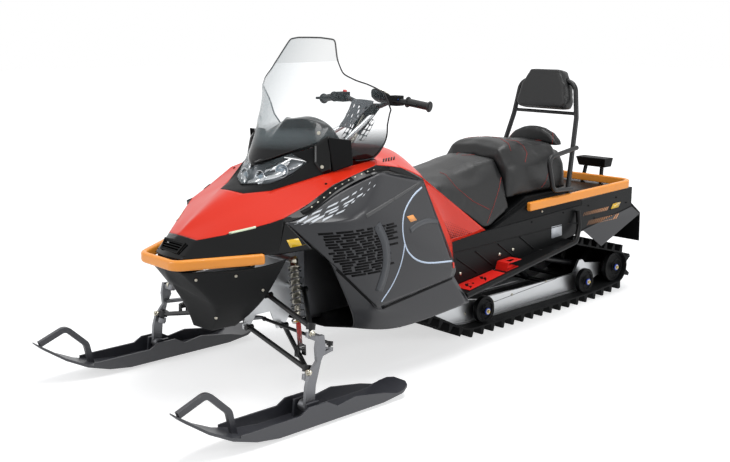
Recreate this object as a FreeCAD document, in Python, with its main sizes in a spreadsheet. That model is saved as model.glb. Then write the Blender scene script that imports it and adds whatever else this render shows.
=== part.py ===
"""Two-up utility snowmobile, in millimetres.

The frame has +X forward, +Y to the rider's left and +Z up. Its origin lies on the floor,
below the middle of the machine. Every driving size is a cell of the spreadsheet "Sizes".
"""

import FreeCAD, Part
import Sketcher
import math
import os
from FreeCAD import Placement, Rotation, Vector

doc = FreeCAD.newDocument("Snowmobile")
sheet = doc.addObject("Spreadsheet::Sheet", "Sizes")
NODES = {}
ROW = [0]


def put(**cells):
    """Write driving sizes into the sheet, one row and alias each."""
    for name, value in cells.items():
        ROW[0] += 1
        sheet.set("A%d" % ROW[0], name)
        sheet.set("B%d" % ROW[0], repr(value))
        sheet.setAlias("B%d" % ROW[0], name)


def size(name):
    """A driving size as a number."""
    return float(sheet.get(name))


def point(name):
    """A named corner of the bodywork, from its three cells."""
    return Vector(size(name + "_x"), size(name + "_y"), size(name + "_z"))


# Track and skid frame
put(
    track_width=500,
    belt_thick=8,
    lug_high=38,
    lug_pitch=78,
    lug_foot=30,
    lug_tip=12,
    rail_wheel_r=67,
    rear_wheel_r=84,
    sprocket_r=82,
    sprocket_x=190,
    sprocket_z=330,
    front_wheel_x=-349,
    mid_wheel_x=-1193,
    rear_wheel_x=-1460,
    rear_wheel_lift=18,
    track_nose_x=-250,
    rail_gap=300,
    rail_thick=14,
    rail_high=92,
    rail_hump=68,
    rail_nose_x=60,
    rail_nose_z=215,
    slider_high=12,
    wheel_width=26,
    wheel_clear=3,
    wheel_hub_r=22,
    axle_r=10,
)
# Tunnel, running boards and rear deck
put(
    tunnel_width=540,
    tunnel_wall=3,
    tunnel_rib=3,
    tunnel_front_x=430,
    tunnel_rear_x=-1534,
    tunnel_front_z=490,
    tunnel_rear_z=576,
    tunnel_skirt_front=268,
    tunnel_skirt_rear=468,
    board_front_x=60,
    board_rear_x=-930,
    board_front_z=273,
    board_rear_z=392,
    board_front_y=399,
    board_rear_y=335,
    board_thick=4,
    board_tube_r=13,
    foot_plate_thick=3,
    toe_plate_front_x=-62,
    toe_plate_rear_x=-335,
    heel_front_x=-372,
    heel_rear_x=-470,
    heel_high=38,
    seat_base_front_x=-340,
    seat_base_rear_x=-985,
    seat_base_top=648,
    deck_high=26,
    deck_rib=4,
    hitch_z=524,
    hitch_width=90,
    hitch_hole_r=10,
    hitch_hole_x=-1619,
    deck_pad_width=440,
)
# Skis and front suspension
put(
    nose_bend_r=240,
    nose_rise=26.6,
    carrier_x=-700,
    carrier_z=362,
    wheel_line_y=215,
    rail_line_y=165,
    rail_nose_run=215,
    seat_gap=0.3,
    tunnel_tail_deep=95,
    deck_step_x=-628,
    rear_bar_tip_x=-592,
    rear_bar_back_x=-1506,
    rear_bar_tip_z=604,
    tie_rod_z=262,
    bellcrank_z=285,
    ski_stance=1060,
    ski_pivot_x=1045,
    ski_pivot_z=68,
    ski_tip_x=1635,
    ski_tail_x=545,
    ski_width=150,
    ski_sole=12,
    keel_high=12,
    ski_wall_high=78,
    ski_bolt_r=8,
    ball_low_x=1026,
    ball_low_y=512,
    ball_low_z=189,
    ball_top_x=984,
    ball_top_y=487,
    ball_top_z=341,
    arm_tube_r=10,
    ball_pin_r=7,
    rod_pin_r=6,
    shock_top_x=896,
    shock_top_y=281,
    shock_top_z=568,
    shock_low_x=976,
    shock_low_y=414,
    shock_low_z=256,
    frame_r=13,
    head_pad_x=-1038,
    head_pad_z=1159,
    head_pad_deep=78,
    steer_arm=106,
    crank_pin_r=7,
    frame_foot_z=326,
    frame_plate_y=124,
    frame_plate_thick=6,
    tie_rod_r=7,
    spring_r=23.5,
    spring_wire_r=3.5,
    bellcrank_y=62,
)
# Steering, seat back and handles
put(
    bar_clamp_x=212,
    bar_clamp_z=1128,
    column_low_x=560,
    column_low_z=712,
    bar_half=354,
    column_r=14,
    bar_r=11,
    grip_r=17,
    tube_r=13,
    bumper_high=43,
    bumper_deep=26,
    bumper_front_z=588,
    bumper_rear_z=630,
    glass_thick=3,
    engine_bottom=290,
    grille_half=74,
    grille_high=52,
    grille_taper=12,
    panel_thick=4,
    panel_gap=0.25,
)

# Corners of the bodywork, left half: x forward, y from the middle, z up
CORNERS = dict(
    lip_mid=(1250, 0, 680),
    lip_corner=(1230, 100, 670),
    edge_a=(1135, 190, 695),
    edge_b=(1014, 290, 737),
    edge_c=(974, 320, 754),
    edge_d=(882, 338, 792),
    edge_e=(745, 350, 865),
    edge_f=(512, 348, 922),
    edge_g=(360, 345, 896),
    edge_h=(212, 332, 836),
    crown_mid=(1128, 0, 764),
    crease=(1072, 127, 757),
    mouth_mid=(1004, 0, 830),
    mouth_corner=(990, 80, 824),
    mouth_a=(905, 150, 834),
    mouth_b=(737, 250, 889),
    mouth_c=(600, 282, 918),
    mouth_d=(465, 300, 937),
    console_front_mid=(462, 0, 985),
    console_front=(462, 120, 975),
    console_crest_mid=(190, 0, 950),
    console_crest=(205, 125, 940),
    console_rear_mid=(0, 0, 846),
    console_rear=(20, 125, 815),
    lens_low_mid=(940, 0, 846),
    lens_low=(880, 118, 858),
    lens_low_back=(806, 165, 899),
    lens_back=(752, 200, 940),
    lens_up=(790, 146, 975),
    lens_top_mid=(897, 0, 909),
    housing_ridge=(722, 197, 997),
    housing_top=(657, 238, 1018),
    cover_low_mid=(884, 0, 918),
    cover_low_a=(761, 148, 981),
    cover_low_b=(700, 195, 1004),
    cover_low_c=(636, 236, 1024),
    pod_mid=(700, 0, 1098),
    pod_side=(650, 95, 1082),
    pod_back_mid=(560, 0, 1098),
    pod_back=(560, 112, 1072),
    dash_side=(556, 246, 940),
    dash_back=(470, 110, 968),
    dash_back_mid=(470, 0, 978),
    trim_rear=(-280, 274, 528),
    trim_low=(-30, 288, 508),
    strip_low=(112, 430, 402),
    front_mid=(834, 430, 578),
    panel_tip=(593, 450, 344),
    panel_back=(116, 434, 398),
    ridge_back=(116, 434, 463),
    peak=(702, 462, 734),
    skirt_front_top=(789, 424, 545),
    skirt_front=(690, 396, 335),
    skirt_front_low=(668, 372, 262),
    skirt_mid_low=(436, 420, 226),
    skirt_back_low=(0, 424, 254),
    skirt_back=(62, 434, 330),
    belly_front=(740, 285, 262),
    belly_mid=(345, 285, 232),
    belly_back=(60, 285, 254),
    belly_front_mid=(760, 0, 255),
    belly_mid_mid=(345, 0, 228),
    nose_mid=(1312, 0, 604),
    nose_corner=(1296, 100, 602),
    nose_side=(1090, 256, 614),
    wing_low=(1000, 320, 614),
    wing_tip=(900, 402, 634),
    pan_mid=(1318, 0, 556),
    pan_corner=(1306, 106, 552),
    pan_side=(1088, 250, 560),
    pan_back_top=(962, 320, 590),
    pan_back_mid=(1004, 245, 440),
    pan_back_low=(1032, 160, 345),
    pan_chin_mid=(1188, 0, 296),
    pan_chin=(1146, 60, 282),
    pan_keel_mid=(1075, 0, 276),
    pan_crease_a=(1272, 60, 486),
    pan_crease_a_mid=(1284, 0, 486),
    pan_crease_b=(1172, 126, 398),
    pan_crease_mid=(1226, 0, 390),
    pan_keel=(1060, 100, 290),
)
# The vent strip's lower corners: each hangs from the hood edge above it by these lengths
VENT_DROPS = dict(
    vent_a=("edge_c", 11, 25, -12),
    vent_b=("edge_d", -7, 24, -26),
    vent_c=("edge_e", -5, 25, -29),
    vent_d=("edge_f", -7, 24, -29),
    vent_e=("edge_h", 0, 2, -10),
)
for name, (edge, *drop) in VENT_DROPS.items():
    CORNERS[name] = tuple(a + b for a, b in zip(CORNERS[edge], drop))
put(**{name + axis: value for name, xyz in CORNERS.items() for axis, value in zip(("_x", "_y", "_z"), xyz)})
doc.recompute()


def node(name, obj):
    """Register a document object as a sub-part; its Label names the file."""
    obj.Label = name
    NODES[name] = obj
    return obj


def shape_node(name, shape, placement=None):
    """A sub-part whose shape is set from Part's own functions."""
    obj = doc.addObject("Part::Feature", name)
    obj.Shape = shape
    if placement is not None:
        obj.Placement = placement
    return node(name, obj)


def mirrored(shape):
    """The right-hand copy of a left-hand shape."""
    return shape.mirror(Vector(0, 0, 0), Vector(0, 1, 0))


def pair(shape):
    """The left and right copies as one compound."""
    return Part.makeCompound([shape, mirrored(shape)])


def calculate(text):
    """The value of an expression over the sheet's aliases."""
    sheet.set("D1", "=" + text)
    sheet.recompute()
    return float(sheet.get("D1"))


def sketch(body, name, role, corners, offset=None):
    """A closed polygon on an origin plane, each corner bound to two expressions."""
    sk = body.newObject("Sketcher::SketchObject", name)
    plane = [f for f in body.Origin.OriginFeatures if f.Role == role][0]
    sk.AttachmentSupport = (plane, [""])
    sk.MapMode = "FlatFace"
    if offset:
        sk.setExpression("AttachmentOffset.Base.z", offset)
    values = [(calculate(a), calculate(b)) for a, b in corners]
    count = len(corners)
    for i in range(count):
        start, end = values[i], values[(i + 1) % count]
        sk.addGeometry(Part.LineSegment(Vector(*start, 0), Vector(*end, 0)), False)
    for i in range(count):
        sk.addConstraint(Sketcher.Constraint("Coincident", i, 2, (i + 1) % count, 1))
    for i, (a, b) in enumerate(corners):
        for kind, text, value in (("DistanceX", a, values[i][0]), ("DistanceY", b, values[i][1])):
            made = sk.addConstraint(Sketcher.Constraint(kind, -1, 1, i, 1, value))
            sk.setExpression("Constraints[%d]" % made, named(text))
    doc.recompute()
    return sk


def named(text):
    """Put the sheet's name before each alias of an expression."""
    out, word = "", ""
    for char in text + " ":
        if char.isalnum() or char == "_":
            word += char
            continue
        if word and not word[0].isdigit() and word not in ("cos", "sin", "tan", "sqrt", "abs"):
            word = "Sizes." + word
        out += word + char
        word = ""
    return out.strip()


def pad(body, sk, length, symmetric=True, name="Pad"):
    """Pad a sketch by a bound length."""
    feature = body.newObject("PartDesign::Pad", name)
    feature.Profile = sk
    feature.Length = 10
    if symmetric:
        feature.SideType = "Symmetric"
    feature.setExpression("Length", named(length))
    doc.recompute()
    return feature


def pocket(body, sk, length, name="Pocket"):
    """Cut a sketch both ways through a body by a bound length."""
    feature = body.newObject("PartDesign::Pocket", name)
    feature.Profile = sk
    feature.Length = 10
    feature.SideType = "Symmetric"
    feature.setExpression("Length", named(length))
    doc.recompute()
    return feature


def tube(points, radius, bend=None):
    """A round bar along runs joined by tangent arcs."""
    path = bent_path(points, bend)
    start = path.Edges[0].valueAt(path.Edges[0].FirstParameter)
    tangent = path.Edges[0].tangentAt(path.Edges[0].FirstParameter)
    ring = Part.Wire(Part.makeCircle(radius, start, tangent))
    return path.makePipeShell([ring], True, False, 2)


def bent_path(points, bend=None):
    """A wire of straight runs joined by arcs of a bend radius."""
    edges, last = [], points[0]
    for i in range(1, len(points) - 1):
        before = (points[i - 1] - points[i])
        after = (points[i + 1] - points[i])
        turn = math.pi - before.getAngle(after)
        reach = min(0.45 * min(before.Length, after.Length), 1e9)
        if bend is not None:
            reach = min(reach, bend * math.tan(turn / 2))
        unit_a, unit_b = before.normalize(), after.normalize()
        start, end = points[i] + unit_a * reach, points[i] + unit_b * reach
        half = (unit_a + unit_b).normalize()
        radius = reach / math.tan(turn / 2)
        centre = points[i] + half * (radius / math.cos(turn / 2))
        middle = centre - half * radius
        edges.append(Part.LineSegment(last, start).toShape())
        edges.append(Part.Arc(start, middle, end).toShape())
        last = end
    edges.append(Part.LineSegment(last, points[-1]).toShape())
    return Part.Wire(edges)


def bar(start, end, radius):
    """A straight round bar between two points."""
    return Part.makeCylinder(radius, (end - start).Length, start, end - start)


def slab(outline, thick, axis):
    """A flat plate: a closed outline pushed along an axis, half each way."""
    corners = [corner - axis * (thick / 2) for corner in outline]
    return Part.Face(Part.makePolygon(corners + corners[:1])).extrude(axis * thick)


# The bodywork is one skin of flat facets. Each panel owns some facets; a corner's wall runs
# inwards along the mean normal of every facet that meets there, so neighbours share a mitre.
SKIN = dict(
    hood=[
        ("lip_mid", "lip_corner", "crease", "crown_mid"),
        ("crown_mid", "crease", "mouth_corner", "mouth_mid"),
        ("crease", "mouth_a", "mouth_corner"),
        ("lip_corner", "edge_a", "crease"),
        ("edge_a", "edge_b", "crease"),
        ("edge_b", "edge_c", "mouth_a", "crease"),
        ("edge_c", "edge_d", "mouth_a"),
        ("edge_d", "edge_e", "mouth_b", "mouth_a"),
        ("edge_e", "edge_f", "mouth_c", "mouth_b"),
        ("edge_f", "mouth_d", "mouth_c"),
    ],
    console=[
        ("mouth_d", "edge_f", "edge_g", "console_front"),
        ("edge_g", "edge_h", "console_crest", "console_front"),
        ("console_front", "console_crest", "console_crest_mid", "console_front_mid"),
        ("console_crest", "console_rear", "console_rear_mid", "console_crest_mid"),
        ("edge_h", "console_rear", "console_crest"),
    ],
    seat_trim=[
        ("edge_h", "strip_low", "trim_low"),
        ("edge_h", "trim_low", "trim_rear"),
    ],
    side_vents=[
        ("edge_c", "vent_a", "vent_b", "edge_d"),
        ("edge_d", "vent_b", "vent_c", "edge_e"),
        ("edge_e", "vent_c", "vent_d", "edge_f"),
        ("edge_f", "vent_d", "vent_e", "edge_g"),
    ],
    side_panel=[
        ("vent_a", "peak", "vent_b"),
        ("vent_b", "peak", "vent_c"),
        ("vent_c", "peak", "vent_d"),
        ("vent_d", "peak", "vent_e"),
        ("vent_e", "peak", "ridge_back"),
        ("ridge_back", "peak", "panel_tip", "panel_back"),
        ("peak", "front_mid", "panel_tip"),
        ("vent_a", "front_mid", "peak"),
    ],
    side_skirt=[
        ("front_mid", "skirt_front", "panel_tip"),
        ("skirt_front", "skirt_front_low", "skirt_mid_low", "panel_tip"),
        ("panel_tip", "skirt_mid_low", "skirt_back_low", "panel_back"),
        ("skirt_back_low", "skirt_back", "panel_back"),
    ],
    nose_cowl=[
        ("lip_mid", "nose_mid", "nose_corner", "lip_corner"),
        ("lip_corner", "nose_corner", "nose_side", "edge_a"),
        ("edge_a", "nose_side", "edge_b"),
        ("edge_b", "nose_side", "wing_low", "edge_c"),
        ("edge_c", "wing_low", "vent_a"),
        ("vent_a", "wing_low", "wing_tip"),
    ],
    belly_pan=[
        ("pan_mid", "pan_crease_a_mid", "pan_crease_a", "pan_corner"),
        ("pan_corner", "pan_crease_a", "pan_crease_b", "pan_side"),
        ("pan_side", "pan_crease_b", "pan_back_mid", "pan_back_top"),
        ("pan_crease_b", "pan_back_low", "pan_back_mid"),
        ("pan_crease_a_mid", "pan_crease_mid", "pan_crease_b", "pan_crease_a"),
        ("pan_crease_mid", "pan_chin_mid", "pan_chin", "pan_crease_b"),
        ("pan_crease_b", "pan_chin", "pan_keel", "pan_back_low"),
        ("pan_chin_mid", "pan_keel_mid", "pan_keel", "pan_chin"),
    ],
    headlamp_lens=[
        ("lens_low_mid", "lens_low", "lens_up", "lens_top_mid"),
        ("lens_low", "lens_low_back", "lens_back"),
        ("lens_low", "lens_back", "lens_up"),
    ],
    headlamp_housing=[
        ("mouth_mid", "mouth_corner", "lens_low", "lens_low_mid"),
        ("mouth_corner", "mouth_a", "lens_low"),
        ("mouth_a", "lens_low_back", "lens_low"),
        ("mouth_a", "mouth_b", "lens_back", "lens_low_back"),
        ("mouth_b", "mouth_c", "housing_top", "lens_back"),
        ("lens_back", "housing_top", "housing_ridge", "lens_up"),
    ],
    instrument_cover=[
        ("cover_low_mid", "cover_low_a", "pod_side", "pod_mid"),
        ("cover_low_a", "cover_low_b", "pod_side"),
        ("cover_low_b", "cover_low_c", "pod_back", "pod_side"),
        ("pod_mid", "pod_side", "pod_back", "pod_back_mid"),
        ("cover_low_c", "dash_side", "dash_back", "pod_back"),
        ("dash_side", "mouth_d", "console_front", "dash_back"),
        ("pod_back_mid", "pod_back", "dash_back", "dash_back_mid"),
        ("dash_back_mid", "dash_back", "console_front", "console_front_mid"),
    ],
    engine_tray=[
        ("belly_front_mid", "belly_mid_mid", "belly_mid", "belly_front"),
        ("belly_front", "belly_mid", "skirt_mid_low", "skirt_front_low"),
        ("belly_mid", "belly_back", "skirt_back_low", "skirt_mid_low"),
    ],
)


def facet_normal(names, places):
    """The unit normal of a facet by Newell's sum."""
    total = Vector(0, 0, 0)
    for a, b in zip(names, names[1:] + names[:1]):
        total += places[a].cross(places[b])
    return total.normalize()


def skin_places():
    """Every corner's outer place and inward mitre, left side."""
    places = {name: point(name) for name in CORNERS}
    inward = {name: [] for name in CORNERS}
    for facets in SKIN.values():
        for names in facets:
            normal = facet_normal(list(names), places)
            for name in names:
                inward[name].append(normal)
    mitres = {}
    for name, normals in inward.items():
        if not normals:
            continue
        mean = sum(normals, Vector(0, 0, 0)).normalize()
        closest = min(mean.dot(n) for n in normals)
        if places[name].y == 0:
            mean.y = 0
            mean.normalize()
        mitres[name] = mean * (-1 / max(closest, 0.5))
    return places, mitres


def panel(facets, thick, gap):
    """A solid panel of facets, its free edges drawn back by a gap; y = 0 edges stay."""
    places, mitres = skin_places()
    facets = [list(f) for f in facets]
    edges = {}
    for names in facets:
        for a, b in zip(names, names[1:] + names[:1]):
            edges[(a, b)] = facet_normal(names, places)
    free = {e: n for e, n in edges.items() if (e[1], e[0]) not in edges}
    pulls = {}
    for (a, b), normal in free.items():
        if places[a].y == 0 and places[b].y == 0:
            continue
        along = (places[b] - places[a]).normalize()
        pull = normal.cross(along).normalize()
        pulls.setdefault(a, []).append(pull)
        pulls.setdefault(b, []).append(pull)
    outer = {}
    for names in facets:
        for name in names:
            shift = Vector(0, 0, 0)
            found = pulls.get(name, [])
            if len(found) == 1:
                shift = found[0] * gap
            elif len(found) > 1:
                mean = sum(found, Vector(0, 0, 0))
                if mean.Length > 1e-6:
                    mean.normalize()
                    shift = mean * (gap / max(mean.dot(found[0]), 0.5))
            place = places[name] + shift
            if places[name].y == 0:
                place.y = 0
            outer[name] = place
    inner = {name: outer[name] + mitres[name] * thick for name in outer}
    for name in inner:
        if places[name].y == 0:
            inner[name].y = 0
    faces = []
    for names in facets:
        faces += fan([outer[n] for n in names])
        faces += fan([inner[n] for n in [names[0]] + names[:0:-1]])
    for a, b in free:
        if places[a].y == 0 and places[b].y == 0:
            faces += mid_faces(a, b, outer, inner)
        else:
            faces += fan([outer[b], outer[a], inner[a], inner[b]])
    return faces


def mid_faces(a, b, outer, inner):
    """Nothing on the middle plane: the right half joins there."""
    return []


def fan(corners):
    """Triangles over a facet whose corners may not lie in one plane."""
    made = []
    for i in range(1, len(corners) - 1):
        made.append(triangle(corners[0], corners[i], corners[i + 1]))
    return made


def triangle(a, b, c):
    """One flat face."""
    return Part.Face(Part.makePolygon([a, b, c, a]))


def solid_of(faces):
    """Sew faces into one closed solid."""
    shell = Part.Shell(faces)
    shell.sewShape()
    solid = Part.Solid(Part.Shell(shell.Faces))
    if solid.Volume < 0:
        solid.reverse()
    return solid


def middle_panel(name, spare=0.0):
    """A panel that crosses the middle: its left facets and their mirror, sewn as one."""
    left = panel(SKIN[name], size("panel_thick"), size("panel_gap") + spare)
    right = [mirrored(face) for face in left]
    return solid_of(left + right)


def side_panel(name, spare=0.0):
    """The left-hand solid of a panel that lies on one side."""
    return solid_of(panel(SKIN[name], size("panel_thick"), size("panel_gap") + spare))


def seated(block, wall, away):
    """The part of a block that lies clear of a wall, drawn off it by the seat gap."""
    rest = block.cut(wall)
    piece = max(rest.Solids, key=lambda solid: solid.CenterOfMass.dot(away))
    piece.translate(away * size("seat_gap"))
    return piece


def grille_in(cowl):
    """Cut the air intake in the nose cowl and fit a frame with slats into it."""
    corners = [point(name) for name in SKIN["nose_cowl"][0]]
    across = Vector(0, 1, 0)
    down = (corners[1] - corners[0]).normalize()
    out = down.cross(across).normalize()
    if out.x < 0:
        out = out * -1
    centre = (corners[0] + corners[1]) * 0.5
    half, tall, taper = size("grille_half"), size("grille_high") / 2, size("grille_taper")

    def window(inset, deep, proud):
        """The intake's outline as a prism, drawn in by an inset."""
        outline = []
        for u, v in ((-half, -tall), (half, -tall), (half - taper, tall), (taper - half, tall)):
            u -= math.copysign(inset, u)
            v -= math.copysign(inset, v)
            outline.append(centre + across * u + down * v + out * proud)
        return Part.Face(Part.makePolygon(outline + outline[:1])).extrude(out * -deep)

    frame = window(size("seat_gap"), 16, 0).cut(window(7, 40, 10))
    slats = []
    count = 4
    for k in range(count):
        place = centre + down * (tall * (2 * (k + 1) / (count + 1) - 1))
        edge = [place + across * u + out * v for u, v in
                ((-half, -3), (-half * 0.5, -0.5), (half * 0.5, -0.5), (half, -3), (half, -14), (-half, -14))]
        slats.append(slab(edge, 3, down).common(window(3, 40, 10)))
    return cowl.cut(window(0, 60, 20)), frame.multiFuse(slats)


def build_bodywork():
    """Hood, console, cowl, pans, side panels, vents, skirts and seat trim."""
    shape_node("hood", middle_panel("hood"))
    clamp = Vector(size("bar_clamp_x"), 0, size("bar_clamp_z"))
    low = Vector(size("column_low_x"), 0, size("column_low_z"))
    shape_node("console", middle_panel("console").cut(bar(low, clamp, size("column_r") + 8)))
    shape_node("belly_pan", middle_panel("belly_pan"))
    cowl, grille = grille_in(middle_panel("nose_cowl"))
    shape_node("nose_cowl", cowl)
    shape_node("nose_grille", grille)
    shape_node("headlamp_lens", middle_panel("headlamp_lens", 0.4))
    shape_node("headlamp_housing", middle_panel("headlamp_housing"))
    shape_node("instrument_cover", middle_panel("instrument_cover"))
    shape_node("engine_tray", middle_panel("engine_tray", 0.5))
    left = side_panel("side_panel")
    shape_node("side_panel_left", left)
    shape_node("side_panel_right", mirrored(left))
    shape_node("side_vents", pair(side_panel("side_vents")))
    shape_node("side_skirts", pair(side_panel("side_skirt")))
    shape_node("seat_trim", pair(side_panel("seat_trim", 0.4)))


build_bodywork()


def sweep_rect(points, wide, high, bend, up):
    """A flat bar of a rectangular section along a bent path; up is the section's long way."""
    path = bent_path(points, bend)
    edge = path.Edges[0]
    start = edge.valueAt(edge.FirstParameter)
    tangent = edge.tangentAt(edge.FirstParameter)
    side = tangent.cross(up).normalize()
    top = side.cross(tangent).normalize()
    corners = []
    for a, b in ((-1, -1), (1, -1), (1, 1), (-1, 1)):
        corners.append(start + side * (a * wide / 2) + top * (b * high / 2))
    maker = Part.BRepOffsetAPI.MakePipeShell(path)
    maker.setBiNormalMode(up)
    maker.add(Part.makePolygon(corners + [corners[0]]))
    maker.build()
    maker.makeSolid()
    return maker.shape()


def loft(rings):
    """A ruled solid through closed rings of equal count."""
    wires = [Part.makePolygon(list(ring) + [ring[0]]) for ring in rings]
    return Part.makeLoft(wires, True, True)


def sheet_solid(grid, thick):
    """A closed wall on a grid of outer points, its inner face moved along the mean normals."""
    rows, columns = len(grid), len(grid[0])
    normals = [[Vector(0, 0, 0) for _ in range(columns)] for _ in range(rows)]
    for i in range(rows - 1):
        for j in range(columns - 1):
            a, b, c, d = grid[i][j], grid[i + 1][j], grid[i + 1][j + 1], grid[i][j + 1]
            normal = (c - a).cross(d - b)
            for r, q in ((i, j), (i + 1, j), (i + 1, j + 1), (i, j + 1)):
                normals[r][q] += normal
    inner = [[grid[i][j] - normals[i][j].normalize() * thick for j in range(columns)] for i in range(rows)]
    faces = []
    for i in range(rows - 1):
        for j in range(columns - 1):
            faces += fan([grid[i][j], grid[i + 1][j], grid[i + 1][j + 1], grid[i][j + 1]])
            faces += fan([inner[i][j], inner[i][j + 1], inner[i + 1][j + 1], inner[i + 1][j]])
    rim = [(i, 0) for i in range(rows)] + [(rows - 1, j) for j in range(1, columns)]
    rim += [(i, columns - 1) for i in range(rows - 2, -1, -1)] + [(0, j) for j in range(columns - 2, 0, -1)]
    for k, (i, j) in enumerate(rim):
        p, q = rim[(k + 1) % len(rim)]
        faces += fan([grid[p][q], grid[i][j], inner[i][j], inner[p][q]])
    return solid_of(faces)


# The track's inner line is the hull of five circles, walked with the inside on the left
def belt_circles():
    """Rear wheel, lifting wheel, rail nose, drive sprocket and carrier wheel: x, z, radius."""
    ground = size("lug_high") + size("belt_thick")
    wheel = size("rail_wheel_r")
    nose = size("nose_bend_r")
    return [
        (size("rear_wheel_x"), ground + size("rear_wheel_r") + size("rear_wheel_lift"), size("rear_wheel_r")),
        (size("mid_wheel_x"), ground + wheel, wheel),
        (size("track_nose_x"), ground + nose, nose),
        (size("sprocket_x"), size("sprocket_z"), size("sprocket_r")),
        (size("carrier_x"), size("carrier_z"), wheel),
    ]


def belt_runs(offset=0.0):
    """Arcs and straights of the line that lies an offset outside the belt's inner line."""
    circles = belt_circles()
    count = len(circles)
    normals = []
    for i in range(count):
        (xa, za, ra), (xb, zb, rb) = circles[i], circles[(i + 1) % count]
        dx, dz = xb - xa, zb - za
        far = math.hypot(dx, dz)
        share = (ra - rb) / far
        rest = math.sqrt(1 - share * share)
        normals.append((share * dx / far + rest * dz / far, share * dz / far - rest * dx / far))
    runs = []
    for i in range(count):
        x, z, r = circles[i]
        before, after = normals[i - 1], normals[i]
        start = math.atan2(before[1], before[0])
        turn = (math.atan2(after[1], after[0]) - start) % (2 * math.pi)
        runs.append(("arc", x, z, r, start, turn))
        xb, zb, rb = circles[(i + 1) % count]
        first = (x + r * after[0], z + r * after[1])
        last = (xb + rb * after[0], zb + rb * after[1])
        runs.append(("line", first, last, after))
    return runs


def run_length(run, pitch_line):
    """A run's length along the belt's neutral line."""
    if run[0] == "arc":
        return (run[3] + pitch_line) * run[5]
    return math.dist(run[1], run[2])


def belt_point(distance, offset):
    """The point at a distance along the belt, an offset outside its inner line."""
    neutral = size("belt_thick") / 2
    runs = belt_runs()
    total = sum(run_length(run, neutral) for run in runs)
    distance %= total
    for run in runs:
        length = run_length(run, neutral)
        if distance <= length:
            break
        distance -= length
    share = distance / length
    if run[0] == "arc":
        angle = run[4] + run[5] * share
        reach = run[3] + offset
        return Vector(run[1] + reach * math.cos(angle), 0, run[2] + reach * math.sin(angle))
    (xa, za), (xb, zb), (nx, nz) = run[1], run[2], run[3]
    return Vector(xa + (xb - xa) * share + nx * offset, 0, za + (zb - za) * share + nz * offset)


def belt_length():
    """The loop's length along the belt's neutral line."""
    return sum(run_length(run, size("belt_thick") / 2) for run in belt_runs())


def belt_inner_wire():
    """The belt's inner line as arcs and straights."""
    edges = []
    for run in belt_runs():
        if run[0] == "arc":
            _, x, z, r, start, turn = run
            ends = [Vector(x + r * math.cos(a), 0, z + r * math.sin(a)) for a in (start, start + turn / 2, start + turn)]
            edges.append(Part.Arc(*ends).toShape())
        else:
            edges.append(Part.LineSegment(Vector(run[1][0], 0, run[1][1]), Vector(run[2][0], 0, run[2][1])).toShape())
    return Part.Wire(edges)


def build_track():
    """One closed belt; its lugs stand in three files, the middle one half a pitch behind."""
    length = belt_length()
    count = round(length / size("lug_pitch"))
    pitch = length / count
    belt, lug = size("belt_thick"), size("lug_high")
    foot, tip = size("lug_foot"), size("lug_tip")
    band = size("track_width") / 3
    bands = []
    for place, phase in ((-1.5, 0.0), (-0.5, 0.5), (0.5, 0.0)):
        outline = []
        for k in range(count):
            middle = (k + phase) * pitch
            for along, out in ((-pitch / 2, 0), (-foot / 2, 0), (-tip / 2, lug), (tip / 2, lug), (foot / 2, 0)):
                outline.append(belt_point(middle + along, belt + out))
        solid = Part.Face(Part.makePolygon(outline + [outline[0]])).extrude(Vector(0, band, 0))
        solid.translate(Vector(0, place * band, 0))
        bands.append(solid)
    core = Part.Face(belt_inner_wire()).extrude(Vector(0, 5 * band, 0))
    core.translate(Vector(0, -2.5 * band, 0))
    shape_node("track", bands[0].multiFuse(bands[1:]).cut(core))


def turned(profile, centre, axis):
    """A solid of revolution: profile pairs are radius and place along the axis."""
    corners = [Vector(r, 0, a) for r, a in profile]
    solid = Part.Face(Part.makePolygon(corners + [corners[0]])).revolve(Vector(0, 0, 0), Vector(0, 0, 1), 360)
    solid.Placement = Placement(centre, Rotation(Vector(0, 0, 1), axis))
    return solid


def rail_wheel(radius, x, y, z):
    """A bogie wheel: rubber rim, thin web and hub in one turned shape."""
    wide, hub = size("wheel_width"), size("wheel_hub_r")
    profile = [
        (size("axle_r") - 1, -wide * 0.7),
        (hub, -wide * 0.7),
        (hub, -wide * 0.2),
        (radius - 18, -wide * 0.2),
        (radius - 14, -wide / 2),
        (radius, -wide / 2),
        (radius, wide / 2),
        (radius - 14, wide / 2),
        (radius - 18, wide * 0.2),
        (hub, wide * 0.2),
        (hub, wide * 0.7),
        (size("axle_r") - 1, wide * 0.7),
    ]
    return turned(profile, Vector(x, y, z), Vector(0, 1, 0))


def build_wheels():
    """Axles with their wheels: front and middle pairs, rear four, and the carrier pair."""
    ground = size("lug_high") + size("belt_thick")
    small, rear = size("rail_wheel_r"), size("rear_wheel_r")
    out = size("wheel_line_y")
    seat = size("seat_gap")
    sets = [
        (size("front_wheel_x"), ground + small, small, (-out, out)),
        (size("mid_wheel_x"), ground + small, small, (-out, out)),
        (size("rear_wheel_x"), ground + rear + size("rear_wheel_lift"), rear, (-out, -70, 70, out)),
        (size("carrier_x"), size("carrier_z"), small, (-out, out)),
    ]
    solids = []
    for x, z, radius, places in sets:
        reach = out + size("wheel_width")
        if x == size("carrier_x"):
            reach = size("tunnel_width") / 2 - size("tunnel_wall") - seat
        axle = Part.makeCylinder(size("axle_r"), 2 * reach, Vector(x, -reach, z), Vector(0, 1, 0))
        wheels = [rail_wheel(radius - seat, x, y, z) for y in places]
        solids.append(axle.multiFuse(wheels))
    shape_node("skid_wheels", Part.makeCompound(solids))


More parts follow.
